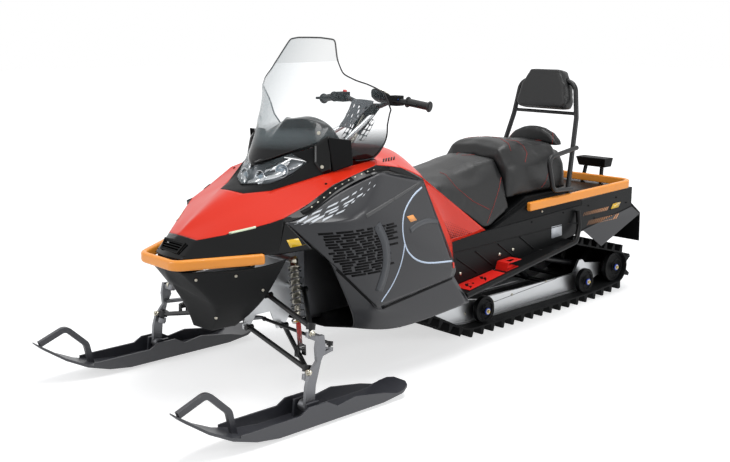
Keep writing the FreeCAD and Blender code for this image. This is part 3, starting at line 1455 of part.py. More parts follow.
def build_ski_side():
    """Skis, spindles, tie rods and the bell crank between them."""
    for side, word in ((1, "left"), (-1, "right")):
        ski = ski_shape()
        spindle = spindle_shape()
        ball = steering_ball()
        pin = Vector(ball.x, size("bellcrank_y"), size("bellcrank_z"))
        low = Vector(size("ball_low_x"), size("ball_low_y"), size("ball_low_z"))
        up = (Vector(size("ball_top_x"), size("ball_top_y"), size("ball_top_z")) - low).normalize()
        start = ball + up * 14
        run = (pin - start).normalize()
        rod = bar(start, pin - run * 18, size("tie_rod_r"))
        head = Part.makeCylinder(13, 18, ball + up * 5, up)
        end = Part.makeSphere(10, pin - run * 22)
        rod = rod.multiFuse([head, end, Part.makeCylinder(size("rod_pin_r"), 30, ball - up * 18, up)])
        shapes = {"ski_": ski, "spindle_": spindle, "tie_rod_": rod}
        for name, shape in shapes.items():
            shape_node(name + word, shape if side == 1 else mirrored(shape))
    x_pin = steering_ball().x
    x_axis = x_pin + size("steer_arm")
    z = size("bellcrank_z")
    half = size("bellcrank_y")
    plate = [Vector(x_axis + 18, -16, z - 5), Vector(x_axis + 18, 16, z - 5), Vector(x_pin - 4, half + 10, z - 5),
             Vector(x_pin - 12, half, z - 5), Vector(x_pin + 20, 0, z - 5), Vector(x_pin - 12, -half, z - 5), Vector(x_pin - 4, -half - 10, z - 5)]
    crank = Part.Face(Part.makePolygon(plate + [plate[0]])).extrude(Vector(0, 0, 10))
    hub = Part.makeCylinder(16, 24, Vector(x_axis, 0, z - 12))
    pin = Part.makeCylinder(size("crank_pin_r"), 50, Vector(x_axis, 0, z))
    shape_node("bellcrank", crank.multiFuse([hub, pin]))


def build_steering():
    """Column, its bearing, riser, bar with grips, gauge and hand controls."""
    clamp = Vector(size("bar_clamp_x"), 0, size("bar_clamp_z"))
    low = Vector(size("column_low_x"), 0, size("column_low_z"))
    axis = (clamp - low).normalize()
    shape_node("steering_column", bar(low, clamp - axis * 60, size("column_r")))
    hold = clamp - axis * 228
    collar = bar(hold - axis * 22, hold + axis * 22, size("column_r") + 8 - size("seat_gap"))
    shape_node("steering_bearing", collar.cut(bar(low, clamp, size("column_r") + 0.05)))
    cross = axis.cross(Vector(0, 1, 0)).normalize()
    riser = []
    for place in (-60, 60):
        riser.append(slab([clamp - axis * 150 + Vector(0, 20, 0), clamp - axis * 150 + Vector(0, -20, 0),
                           clamp + Vector(0, -48, 0), clamp + Vector(0, 48, 0)], 24, cross))
    shape_node("riser_bracket", riser[0].cut(bar(low, clamp - axis * 60, 14.3)))
    half = size("bar_half")
    route = [Vector(212, 0, 1130), Vector(212, 60, 1132), Vector(228, 150, 1162), Vector(222, 240, 1160), Vector(195, half, 1143)]
    bars = []
    for side in (1, -1):
        points = [Vector(p.x, p.y * side, p.z) for p in route]
        bars.append(tube(points, size("bar_r"), 50))
        bars.append(bar(points[3], points[4], size("grip_r")))
    shape = bars[0].multiFuse(bars[1:])
    shape_node("handlebar", shape.cut(riser[0]))
    gauge = Part.makeBox(120, 150, 46, Vector(95, -75, 1160))
    gauge = gauge.fuse(Part.makeBox(30, 60, 24, Vector(178, -30, 1141 + 0.3)))
    shape_node("gauge_pod", gauge)
    controls = []
    for side in (1, -1):
        block = Part.makeBox(44, 52, 44, Vector(206, 176 * side - 26, 1141))
        lever = bar(Vector(250, 180 * side, 1160), Vector(258, 330 * side, 1150), 6)
        controls.append(block.fuse(lever))
    whole = Part.makeCompound(controls)
    shape_node("hand_controls", whole.cut(NODES["handlebar"].Shape))


build_track()
build_wheels()
build_rails()
build_skid_arms()
build_drive()
build_tunnel()
build_boards()
build_rear()
build_seats()
build_back_frame()
build_shield()
build_front()
build_ski_side()
build_steering()


def check_and_export():
    """Refuse a failed or open sub-part, then write every node."""
    doc.recompute()
    for obj in doc.Objects:
        bad = [s for s in obj.State if s in ("Invalid", "Error")]
        if bad:
            raise SystemExit("%s is %s" % (obj.Name, bad))
    os.makedirs("parts", exist_ok=True)
    faults = []
    for name, obj in NODES.items():
        shape = obj.Shape
        if shape.isNull() or not shape.isValid() or not shape.Solids:
            faults.append("%s has no valid solid" % name)
            continue
        if any(s.Volume <= 0 for s in shape.Solids):
            faults.append("%s has a solid turned inside out" % name)
        shape.exportStep("parts/%s.step" % name)
        print("%-20s %2d solids %10.1f cm3" % (name, len(shape.Solids), shape.Volume / 1000))
    if faults:
        raise SystemExit("; ".join(faults))


check_and_export()
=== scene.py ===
# %% [markdown]
# # A two-up utility snowmobile
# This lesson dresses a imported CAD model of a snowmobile. The CAD model gives every part its
# real size and place, so nothing here is fitted by eye: a new piece goes where the CAD says.
# Blender's work is the finish of each surface, the rounded body panels, the padded seats and
# the small hardware that a plain CAD model leaves out.

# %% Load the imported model
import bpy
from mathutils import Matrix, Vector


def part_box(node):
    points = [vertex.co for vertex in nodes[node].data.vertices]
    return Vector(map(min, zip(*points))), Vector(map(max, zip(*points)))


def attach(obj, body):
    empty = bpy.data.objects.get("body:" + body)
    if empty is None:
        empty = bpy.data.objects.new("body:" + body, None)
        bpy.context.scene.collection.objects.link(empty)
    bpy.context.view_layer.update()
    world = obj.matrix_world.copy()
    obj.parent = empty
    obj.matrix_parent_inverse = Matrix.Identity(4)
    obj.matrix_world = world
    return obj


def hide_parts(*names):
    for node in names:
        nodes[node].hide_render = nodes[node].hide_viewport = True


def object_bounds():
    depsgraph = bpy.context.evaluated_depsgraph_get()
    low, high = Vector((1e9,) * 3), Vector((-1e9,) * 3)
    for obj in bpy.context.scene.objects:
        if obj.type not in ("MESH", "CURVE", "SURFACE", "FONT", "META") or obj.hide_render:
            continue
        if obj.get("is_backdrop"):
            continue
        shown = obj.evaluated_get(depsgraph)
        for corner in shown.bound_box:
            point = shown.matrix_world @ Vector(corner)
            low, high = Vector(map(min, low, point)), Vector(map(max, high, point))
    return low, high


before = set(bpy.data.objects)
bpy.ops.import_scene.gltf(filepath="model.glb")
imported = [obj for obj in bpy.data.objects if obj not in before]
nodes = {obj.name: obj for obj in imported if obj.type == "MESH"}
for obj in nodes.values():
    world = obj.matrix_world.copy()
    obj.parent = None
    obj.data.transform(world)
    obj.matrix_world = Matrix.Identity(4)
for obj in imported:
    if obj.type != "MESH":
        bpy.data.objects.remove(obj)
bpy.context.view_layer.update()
mm = 0.001

# %% Python's and Blender's modules
import math
import random

import bmesh
import bpy
from mathutils import Vector
from mathutils.bvhtree import BVHTree

# %% [markdown]
# ## Camera, floor and light
# The camera stands where the photographer stood: ahead of the machine and to its left, a little
# above the handlebar. Its place and direction are kept as names, because small details are later
# placed by rays from the same point.

# %% Camera
scene = bpy.context.scene
scene.view_settings.view_transform = "Standard"
VIEW_FROM = Vector((3.32266, 3.32942, 1.48006))
VIEW_YAW, VIEW_PITCH = math.radians(47.3028), math.radians(11.5234)
VIEW_AHEAD = Vector((-math.cos(VIEW_YAW) * math.cos(VIEW_PITCH), -math.sin(VIEW_YAW) * math.cos(VIEW_PITCH),
                     -math.sin(VIEW_PITCH)))
LENS, SENSOR = 49.42, 36.0


def aim(thing, where, ahead):
    """Put a camera or a lamp at a place, looking along a direction."""
    scene.collection.objects.link(thing)
    thing.location = where
    thing.rotation_mode = "QUATERNION"
    thing.rotation_quaternion = ahead.to_track_quat("-Z", "Y")


camera_data = bpy.data.cameras.new("camera")
camera_data.lens, camera_data.sensor_width = LENS, SENSOR
camera_data.clip_start, camera_data.clip_end = 0.05, 200.0
scene.camera = bpy.data.objects.new("camera", camera_data)
aim(scene.camera, VIEW_FROM, VIEW_AHEAD)
print("camera at", [round(v, 3) for v in VIEW_FROM], "lens", LENS, "mm")

# %% [markdown]
# Materials are built as small node trees. Two helpers keep them readable: one turns a colour as
# it is seen on a screen into the linear numbers that a shader works with, the other adds a node
# and wires it in one line.

# %% Colour and node helpers


def colour(code):
    """An sRGB hex code as the linear colour that Blender's sockets take."""
    parts = [int(code[i:i + 2], 16) / 255 for i in (0, 2, 4)]
    linear = [c / 12.92 if c <= 0.04045 else ((c + 0.055) / 1.055) ** 2.4 for c in parts]
    return (*linear, 1.0)


def add(tree, kind, inputs=None, **settings):
    """Add one node with its settings; an input is a value or another node's socket."""
    node = tree.nodes.new(kind)
    for name, value in settings.items():
        setattr(node, name, value)
    for name, value in (inputs or {}).items():
        if isinstance(value, bpy.types.NodeSocket):
            tree.links.new(value, node.inputs[name])
        else:
            node.inputs[name].default_value = value
    return node


# %% [markdown]
# A product photo is lit by a few large soft lamps in a white room, so the gloss shows broad and
# quiet reflections. The sky is white where it is looked at and softer where it only lights, so
# that the background stays white and the dark plastics keep their depth.

# %% World and lamps
world = bpy.data.worlds.new("studio")
scene.world = world
world.use_nodes = True
sky = world.node_tree
sky.nodes.clear()


def direct_view(tree):
    """1 where a surface is looked at, straight on, in a gloss or through a clear sheet."""
    rays = add(tree, "ShaderNodeLightPath").outputs
    shiny = add(tree, "ShaderNodeMath", {0: rays["Is Glossy Ray"], 1: rays["Is Transmission Ray"]},
                operation="MAXIMUM").outputs[0]
    return add(tree, "ShaderNodeMath", {0: rays["Is Camera Ray"], 1: shiny}, operation="MAXIMUM").outputs[0]


soft_sky = add(sky, "ShaderNodeBackground", {"Color": (0.93, 0.96, 1.0, 1), "Strength": 0.40})
white_sky = add(sky, "ShaderNodeBackground", {"Color": (1, 1, 1, 1), "Strength": 1.0})
mixed = add(sky, "ShaderNodeMixShader", {0: direct_view(sky), 1: soft_sky.outputs[0], 2: white_sky.outputs[0]})
add(sky, "ShaderNodeOutputWorld", {"Surface": mixed.outputs[0]})


def softbox(name, where, target, wide, high, power):
    """A rectangular lamp that faces a target."""
    data = bpy.data.lights.new(name, "AREA")
    data.shape, data.size, data.size_y, data.energy = "RECTANGLE", wide, high, power
    aim(bpy.data.objects.new(name, data), where, Vector(target) - Vector(where))
    print(name, wide, "by", high, "m,", power, "W")


softbox("top_box", (-0.2, 0.6, 4.4), (0.1, 0, 0.5), 5.0, 1.6, 150)
softbox("front_box", (5.0, -1.4, 2.4), (0.4, 0, 0.6), 1.2, 2.6, 60)
softbox("side_box", (-1.4, 5.2, 2.6), (-0.4, 0, 0.5), 3.4, 0.7, 75)

# %% [markdown]
# The floor is a plain matt sheet. Near the machine it takes the soft shadow of the skis and the
# track. Further out it glows more and more, so that its edge melts into the white background.

# %% Floor
NEAR, FAR = 2.0, 6.0
NEAR_TONE, MATT_TONE = 0.62, 0.80
bpy.ops.mesh.primitive_plane_add(size=60, location=(0, 0, -0.6 * mm))
floor = bpy.context.object
floor.name = "studio_floor"
paint = bpy.data.materials.new("matt white studio floor")
paint.use_nodes = True
tree = paint.node_tree
tree.nodes.clear()
matt = add(tree, "ShaderNodeBsdfDiffuse", {"Color": (MATT_TONE, MATT_TONE, MATT_TONE, 1)})
pale = add(tree, "ShaderNodeBsdfDiffuse", {"Color": (NEAR_TONE, NEAR_TONE, NEAR_TONE, 1)})
here = add(tree, "ShaderNodeTexCoord").outputs["Object"]
away = add(tree, "ShaderNodeVectorMath", {0: here}, operation="LENGTH").outputs["Value"]
fade = add(tree, "ShaderNodeMapRange", {"Value": away, "From Min": NEAR, "From Max": FAR,
                                        "To Min": NEAR_TONE, "To Max": 1.0})
glow = add(tree, "ShaderNodeEmission", {"Color": (1, 1, 1, 1), "Strength": fade.outputs[0]})
lit = add(tree, "ShaderNodeAddShader", {0: pale.outputs[0], 1: glow.outputs[0]})
seen_floor = add(tree, "ShaderNodeMixShader", {0: direct_view(tree), 1: matt.outputs[0], 2: lit.outputs[0]})
add(tree, "ShaderNodeOutputMaterial", {"Surface": seen_floor.outputs[0]})
floor.data.materials.append(paint)
floor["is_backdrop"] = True
print("floor glows from", NEAR_TONE, "at", NEAR, "m to 1 at", FAR, "m")

# %% [markdown]
# ## Finishes
# Every finish starts from what the real material is. One function gives the things that all of
# them share: a slow drift in colour, a drift in roughness, and a fine relief whose grain has a
# real size in millimetres. Patterns read Object coordinates, so they sit still on the piece.

# %% The shared finish


def finish(name, code, rough, metal=0.0, grain=1.0, relief=0.1, drift=0.06, coat=0.0, stretch=(1, 1, 1),
           shine=0.5):
    """A material: grain is the relief's size in mm, relief its depth, 0 to 1, shine its mirror share."""
    material = bpy.data.materials.new(name)
    material.use_nodes = True
    tree = material.node_tree
    shader = tree.nodes["Principled BSDF"]
    place = add(tree, "ShaderNodeTexCoord").outputs["Object"]
    slow = add(tree, "ShaderNodeTexNoise", {"Vector": place, "Scale": 9.0, "Detail": 3.0})
    base = colour(code)
    pale = [min(1.0, c * (1 + drift) + 0.01 * drift) for c in base[:3]] + [1]
    dark = [c * (1 - drift) for c in base[:3]] + [1]
    tone = add(tree, "ShaderNodeMix", {0: slow.outputs["Fac"], 6: dark, 7: pale}, data_type="RGBA")
    tree.links.new(tone.outputs[2], shader.inputs["Base Color"])
    fine_place = add(tree, "ShaderNodeMapping", {"Vector": place, "Scale": stretch}).outputs[0]
    fine = add(tree, "ShaderNodeTexNoise", {"Vector": fine_place, "Scale": 1000 / grain, "Detail": 2.0})
    wear = add(tree, "ShaderNodeMapRange", {"Value": slow.outputs["Fac"], "To Min": rough * 0.85,
                                            "To Max": min(1.0, rough * 1.18)})
    tree.links.new(wear.outputs[0], shader.inputs["Roughness"])
    bump = add(tree, "ShaderNodeBump", {"Height": fine.outputs["Fac"], "Strength": relief,
                                        "Distance": grain * mm * 0.5})
    tree.links.new(bump.outputs[0], shader.inputs["Normal"])
    shader.inputs["Metallic"].default_value = metal
    shader.inputs["Coat Weight"].default_value = coat
    shader.inputs["Coat Roughness"].default_value = 0.06
    shader.inputs["Specular IOR Level"].default_value = shine
    return material


# %% [markdown]
# The hood is injection-moulded ABS under a clear gloss coat. The coat's mirror-like layer over a
# slightly soft base is what makes painted plastic look deep. The cowl and vents are the same
# plastic in gloss black, the lower pans a textured polypropylene that scatters light.

# %% Body plastics
hood_paint = finish("gloss red coated ABS", "D8290D", 0.36, grain=14, relief=0.05, drift=0.03,
                    coat=0.15, shine=0.3)
black_gloss = finish("gloss black moulded ABS", "060708", 0.14, grain=16, relief=0.04, drift=0.1,
                     coat=0.1, shine=0.2)
side_plastic = finish("satin graphite moulded ABS", "1F2024", 0.34, grain=9, relief=0.05, drift=0.05,
                      coat=0.15, shine=0.4)
pan_plastic = finish("grained polypropylene pan", "0F1011", 0.5, grain=1.6, relief=0.35, drift=0.08,
                     shine=0.2)
dull_black = finish("grained black nylon", "08090A", 0.5, grain=1.2, relief=0.3, drift=0.1, shine=0.12)
ski_plastic = finish("UHMW polyethylene", "2B2C32", 0.4, grain=3.0, relief=0.12, drift=0.12, shine=0.8)
bumper_plastic = finish("satin orange polyethylene", "F59A34", 0.36, grain=2.2, relief=0.08, drift=0.04,
                         coat=0.1)
vinyl_seat = finish("grained black marine vinyl", "090A0B", 0.40, grain=1.8, relief=0.4, drift=0.08, shine=0.42)
rubber_track = finish("moulded track rubber", "0C0D0E", 0.70, grain=2.4, relief=0.35, drift=0.15, shine=0.15)
rubber_grip = finish("soft grip rubber", "131416", 0.62, grain=0.9, relief=0.3, drift=0.1)

# %% [markdown]
# Bare metals are mirrors with a fine texture: brushed for the extruded rails, blasted for the
# castings, smooth for plated bolts. Powder coat is a baked plastic skin with a slight orange peel,
# so it isn't metallic at all.

# %% Metals
tunnel_coat = finish("black powder coated aluminium", "0B0C0D", 0.40, grain=1.1, relief=0.22, drift=0.08,
                     shine=0.15)
frame_coat = finish("black powder coated steel", "0C0D0F", 0.36, grain=1.1, relief=0.2, drift=0.08, shine=0.35)
plate_red = finish("red powder coated aluminium", "D91E14", 0.38, grain=1.2, relief=0.18, drift=0.05)
rail_alloy = finish("brushed extruded aluminium", "C6C8CA", 0.36, metal=1.0, grain=1.0, relief=0.2,
                    stretch=(0.05, 1, 1))
cast_alloy = finish("shot blasted cast aluminium", "7B7C7F", 0.45, metal=1.0, grain=1.4, relief=0.4)
zinc_steel = finish("zinc plated steel", "BDB9AC", 0.28, metal=1.0, grain=1.2, relief=0.12)
black_steel = finish("black enamelled spring steel", "0E0F10", 0.22, grain=3, relief=0.06, coat=0.5)
gold_anodised = finish("gold anodised aluminium", "C79A3A", 0.25, metal=1.0, grain=1.0, relief=0.08)

# %% [markdown]
# The windshield is a drawn sheet of clear polycarbonate. Face on it is almost invisible, and at
# a glancing angle it turns into a mirror, so its opacity follows the facing angle. Its lowest
# part is dyed with smoke, which hides the mounts, and the dye fades out with height. The lamp lens
# is the same plastic, and the tail lens is red acrylic that passes little light.

# %% Clear plastics


def clear(name, code, rough, least, most, smoke=None):
    """A clear plastic whose opacity grows from least, face on, to most at its edges."""
    material = bpy.data.materials.new(name)
    material.use_nodes = True
    tree = material.node_tree
    shader = tree.nodes["Principled BSDF"]
    shader.inputs["Roughness"].default_value = rough
    shader.inputs["Specular IOR Level"].default_value = 0.35
    facing = add(tree, "ShaderNodeLayerWeight", {"Blend": 0.28}).outputs["Facing"]
    veil = add(tree, "ShaderNodeMapRange", {"Value": facing, "From Min": 0.15, "From Max": 0.95,
                                            "To Min": least, "To Max": most}).outputs[0]
    if smoke:
        place = add(tree, "ShaderNodeTexCoord").outputs["Object"]
        high = add(tree, "ShaderNodeSeparateXYZ", {0: place}).outputs["Z"]
        dye = add(tree, "ShaderNodeMapRange", {"Value": high, "From Min": smoke[0], "From Max": smoke[1],
                                               "To Min": 1.0, "To Max": 0.0}).outputs[0]
        deep = add(tree, "ShaderNodeMath", {0: dye, 1: 0.9}, operation="MULTIPLY").outputs[0]
        veil = add(tree, "ShaderNodeMath", {0: veil, 1: deep}, operation="MAXIMUM").outputs[0]
        tint = add(tree, "ShaderNodeMix", {0: dye, 6: colour(code), 7: colour("0B0C0E")}, data_type="RGBA")
        tree.links.new(tint.outputs[2], shader.inputs["Base Color"])
    else:
        shader.inputs["Base Color"].default_value = colour(code)
    tree.links.new(veil, shader.inputs["Alpha"])
    return material


shield_clear = clear("clear polycarbonate sheet", "8C9A9E", 0.03, 0.07, 0.62, smoke=(0.985, 1.085))
lens_clear = clear("clear polycarbonate lens", "7C868A", 0.03, 0.12, 0.7)
lens_red = clear("red acrylic lens", "B3150F", 0.08, 0.85, 1.0)

# %% [markdown]
# Every CAD node that shows gets its finish before anything is built on it. One table says which
# part is made of what, so a change of material is a change of one word.

# %% Dress the CAD nodes
print("finishes:", len(bpy.data.materials))
made_of = {
    hood_paint: ["hood", "console", "seat_trim"],
    black_gloss: ["nose_cowl", "side_vents", "instrument_cover", "windshield_mounts", "gauge_pod"],
    side_plastic: ["side_panel_left", "side_panel_right", "side_skirts", "rear_fenders"],
    pan_plastic: ["belly_pan", "engine_tray"],
    dull_black: ["seat_base", "snow_flap", "tail_lamp_pod", "steering_bearing", "hand_controls", "nose_grille",
                 "headlamp_housing", "skid_wheels", "riser_bracket"],
    ski_plastic: ["ski_left", "ski_right"],
    bumper_plastic: ["front_bumper", "rear_bumper"],
    vinyl_seat: ["rider_seat", "passenger_seat", "seat_bolster", "back_pad"],
    rubber_track: ["track"],
    rubber_grip: ["handlebar"],
    tunnel_coat: ["tunnel", "running_boards", "cargo_deck"],
    frame_coat: ["backrest_frame", "grab_handles", "tow_hitch", "front_arms", "skid_arms", "tie_rod_left",
                 "tie_rod_right"],
    plate_red: ["foot_plates"],
    rail_alloy: ["skid_rails", "front_subframe"],
    cast_alloy: ["spindle_left", "spindle_right", "bellcrank", "engine"],
    zinc_steel: ["front_shocks", "steering_column", "drive_axle"],
    shield_clear: ["windshield"],
    lens_clear: ["headlamp_lens"],
    lens_red: ["tail_lamp_lens"],
}
for material, names in made_of.items():
    for name in names:
        mesh = nodes[name].data
        mesh.materials.clear()
        mesh.materials.append(material)
print("CAD nodes without a finish:", sorted(set(nodes) - set(sum(made_of.values(), []))))

# %% [markdown]
# ## Moulded body panels
# Each body panel is a thin moulded skin. The CAD model gives its corners as flat facets, which
# is enough for its size and its joins. To get the drawn, taut surface of the real moulding, the
# outer facets are taken as the cage of a subdivision surface. Open edges keep their line, so
# the gaps between neighbours stay even, and where a fold is strong it stays a soft crease.
# The cage is pushed out a little first, because subdivision draws a surface inside its cage.

# %% Copies of CAD parts
HEART = Vector((0.75, 0.0, 0.60))
SKIN_MOST = 6 * mm


def cad_copy(*names):
    """The loose triangles of CAD nodes as one merged bmesh."""
    bm = bmesh.new()
    for name in names:
        bm.from_mesh(nodes[name].data)
    bmesh.ops.remove_doubles(bm, verts=bm.verts, dist=0.02 * mm)
    return bm


def outer_facets(name):
    """The outward facets of a thin skin, with its inner wall and its rim removed."""
    bm = cad_copy(name)
    bm.normal_update()
    tree = BVHTree.FromBMesh(bm)
    drop = []
    for face in bm.faces:
        centre = face.calc_center_median()
        hit = tree.ray_cast(centre - face.normal * 0.1 * mm, -face.normal, SKIN_MOST)
        if hit[0] is None or face.normal.dot(centre - HEART) < 0:
            drop.append(face)
    bmesh.ops.delete(bm, geom=drop, context="FACES")
    bmesh.ops.dissolve_limit(bm, angle_limit=math.radians(4), verts=bm.verts, edges=bm.edges,
                             use_dissolve_boundaries=False)
    return bm


def rim_turn(vert):
    """How far the open edge turns at a vertex, in degrees; 0 inside the skin."""
    rim = [e for e in vert.link_edges if e.is_boundary]
    if len(rim) != 2:
        return 0.0
    a, b = (e.other_vert(vert).co - vert.co for e in rim)
    return 180.0 - math.degrees(a.angle(b, math.pi))


# %% [markdown]
# Where an open edge turns sharply, the panel has a real corner. These corners are collected
# over all the skins, so that two neighbours keep the same corner where they meet.

# %% Skins to mould
skins = ["hood", "console", "side_vents", "side_panel_left", "side_panel_right", "side_skirts", "seat_trim",
         "nose_cowl", "belly_pan", "instrument_cover", "headlamp_housing", "headlamp_lens"]
cages = {name: outer_facets(name) for name in skins}
CORNER_TURN = 32
corners = [v.co.copy() for cage in cages.values() for v in cage.verts if rim_turn(v) > CORNER_TURN]
print("skins:", {name: len(cage.faces) for name, cage in cages.items()}, "corners:", len(corners))

# %% [markdown]
# A cage edge gets a crease that grows with the angle it turns. Subdivision pulls the surface
# inside its cage, so the cage is pushed out by the error and tried again, three times. The real
# panel is about 3 mm thick, which a solidify gives it.

# %% From a cage to a panel


def new_piece(name, bm, material, body="chassis", levels=0):
    """A mesh object of a bmesh, dressed and riding on a body."""
    mesh = bpy.data.meshes.new(name)
    bm.to_mesh(mesh)
    bm.free()
    for polygon in mesh.polygons:
        polygon.use_smooth = True
    piece = bpy.data.objects.new(name, mesh)
    scene.collection.objects.link(piece)
    for each in material if isinstance(material, (list, tuple)) else [material]:
        mesh.materials.append(each)
    if levels:
        smooth = piece.modifiers.new("smooth", "SUBSURF")
        smooth.levels = smooth.render_levels = levels
    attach(piece, body)
    return piece


def evaluated(piece):
    """The mesh that an object's modifiers make."""
    bpy.context.view_layer.update()
    return piece.evaluated_get(bpy.context.evaluated_depsgraph_get())


def walled(piece, thick, offset=-1.0):
    """Give a sheet its thickness, inward unless the offset says otherwise."""
    wall = piece.modifiers.new("wall", "SOLIDIFY")
    wall.thickness, wall.offset = thick, offset


def mould(name, material, fold, levels=4, push=0.75, wall=3 * mm):
    """A smooth panel over a cage; fold is the angle where a crease begins and where it is full."""
    cage = cages[name]
    edge_crease = cage.edges.layers.float.new("crease_edge")
    vert_crease = cage.verts.layers.float.new("crease_vert")
    for edge in cage.edges:
        if edge.is_boundary:
            edge[edge_crease] = 1.0
        elif len(edge.link_faces) == 2:
            angle = math.degrees(edge.calc_face_angle(0.0))
            edge[edge_crease] = max(0.0, min(0.9, (angle - fold[0]) / (fold[1] - fold[0])))
    for vert in cage.verts:
        if vert.is_boundary and min((vert.co - c).length for c in corners) < 7 * mm:
            vert[vert_crease] = 1.0
    wanted = [v.co.copy() for v in cage.verts]
    piece = new_piece(name + "_moulded", cage, material, levels=levels)
    for _ in range(3):
        made = evaluated(piece).data.vertices
        for vert, goal in zip(piece.data.vertices, wanted):
            vert.co += (goal - made[vert.index].co) * push
        piece.data.update()
    walled(piece, wall)
    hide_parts(name)
    print(name, "moulded with", len(evaluated(piece).data.polygons), "faces")
    return piece


# %% [markdown]
# The large panels are drawn with crisp folds, so their creases begin at a small angle. The lamp
# housing and the trims are rounder mouldings, and their folds stay soft up to a stronger turn.

# %% Mould the panels
CRISP, ROUND = (11, 42), (24, 80)
panels = {}
for name, material, slot in [
    ("hood", hood_paint, "hood_red"), ("console", hood_paint, "hood_red"),
    ("seat_trim", hood_paint, "hood_red"),
    ("side_vents", black_gloss, "gloss_black"), ("side_panel_left", side_plastic, "panel_grey"),
    ("side_panel_right", side_plastic, "panel_grey"), ("side_skirts", side_plastic, "pan_grey"),
    ("nose_cowl", black_gloss, "gloss_black"), ("belly_pan", pan_plastic, "pan_grey"),
    ("instrument_cover", black_gloss, "gloss_black"), ("headlamp_housing", dull_black, "black_plastic"),
    ("headlamp_lens", lens_clear, "clear_shield"),
]:
    crisp = name in ("hood", "side_panel_left", "side_panel_right", "belly_pan", "nose_cowl")
    panels[name] = mould(name, material, fold=CRISP if crisp else ROUND)

# %% [markdown]
# ## Softened solids
# Bent tubes, cast blocks and moulded boxes have the right form in the CAD model and edges that
# are too sharp. A merged copy has its flat faces joined again, and the edges that turn strongly
# are rolled over with a bevel. A wide bevel turns a flat bar into the pill section of a bumper.

# %% Soften a CAD solid


def soften(name, width, segments, material, turn=30, body="chassis"):
    """A CAD node's own form with its sharp edges rounded."""
    bm = cad_copy(name)
    bmesh.ops.dissolve_limit(bm, angle_limit=math.radians(3), verts=bm.verts, edges=bm.edges,
                             use_dissolve_boundaries=False)
    sharp = [e for e in bm.edges if len(e.link_faces) == 2 and e.calc_face_angle(0) > math.radians(turn)]
    bmesh.ops.bevel(bm, geom=sharp, offset=width, offset_type="OFFSET", segments=segments, profile=0.5,
                    affect="EDGES", clamp_overlap=True, material=-1)
    bmesh.ops.recalc_face_normals(bm, faces=bm.faces)
    piece = new_piece(name + "_soft", bm, material, body=body)
    tidy = piece.modifiers.new("shade", "WEIGHTED_NORMAL")
    tidy.keep_sharp = True
    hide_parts(name)
    print(name, "softened:", len(piece.data.polygons), "faces")
    return piece


# %% [markdown]
# The roll of an edge follows how the part is made: a bent bar is round all over, a moulded box
# has a few millimetres, a cut plate only a broken edge.

# %% Soften the bars, boxes and plates
soft = {}
for name, width, segments, material, slot, body in [
    ("front_bumper", 11.5, 4, bumper_plastic, "orange_bar", "chassis"),
    ("rear_bumper", 11.5, 4, bumper_plastic, "orange_bar", "chassis"),
    ("windshield_mounts", 9, 4, dull_black, "gloss_black", "chassis"),
    ("tail_lamp_pod", 6, 3, dull_black, "black_plastic", "chassis"),
    ("seat_base", 3, 2, dull_black, "black_plastic", "chassis"),
    ("rear_fenders", 1.2, 2, side_plastic, "pan_grey", "chassis"),
    ("foot_plates", 0.8, 2, plate_red, "plate_red", "chassis"),
    ("skid_rails", 1.2, 2, rail_alloy, "rail_alloy", "chassis"),
    ("skid_wheels", 2.0, 2, dull_black, "black_plastic", "chassis"),
    ("ski_left", 2.0, 2, ski_plastic, "ski_plastic", "ski_left"),
    ("ski_right", 2.0, 2, ski_plastic, "ski_plastic", "ski_right"),
    ("spindle_left", 2.4, 2, cast_alloy, "cast_alloy", "spindle_left"),
    ("spindle_right", 2.4, 2, cast_alloy, "cast_alloy", "spindle_right"),
]:
    soft[name] = soften(name, width * mm, segments, material, body=body)

# %% [markdown]
# The tail lamp's pod is a hood that is widest at its top and draws in towards the lens under it.
# The CAD box is squeezed in proportion to how far below the top a point lies.

# %% Taper the lamp pod
pod = soft["tail_lamp_pod"].data
lens_foot, pod_top = 0.690, 0.744
rear_wall = -1.55
squeeze, set_back = 0.12, 16 * mm
for vert in pod.vertices:
    if vert.co.z > lens_foot - 10 * mm:
        share = min(1.0, max(0.0, (pod_top - vert.co.z) / (pod_top - lens_foot)))
        vert.co.y *= 1 - squeeze * share
        if vert.co.x > rear_wall:
            vert.co.x -= set_back * share
pod.update()
print("pod tapered from", pod_top, "down to", lens_foot, "m")

# %% [markdown]
# ## Padded seats
# Each pad is moulded foam under stretched vinyl. The cover pulls the edges round and lets the
# middle of each face swell a little. A copy of the CAD solid is remeshed into even faces, so
# that cloth can bend anywhere, and then swells for a few frames under a light pressure. The
# movement is capped and every point stays in the CAD part's box, so the pad keeps its size.

# %% Swell a pad


def relax(bm, times):
    """Ease the bends of a mesh by moving each point towards its neighbours."""
    for _ in range(times):
        bmesh.ops.smooth_vert(bm, verts=bm.verts, factor=0.5,
                              use_axis_x=True, use_axis_y=True, use_axis_z=True)


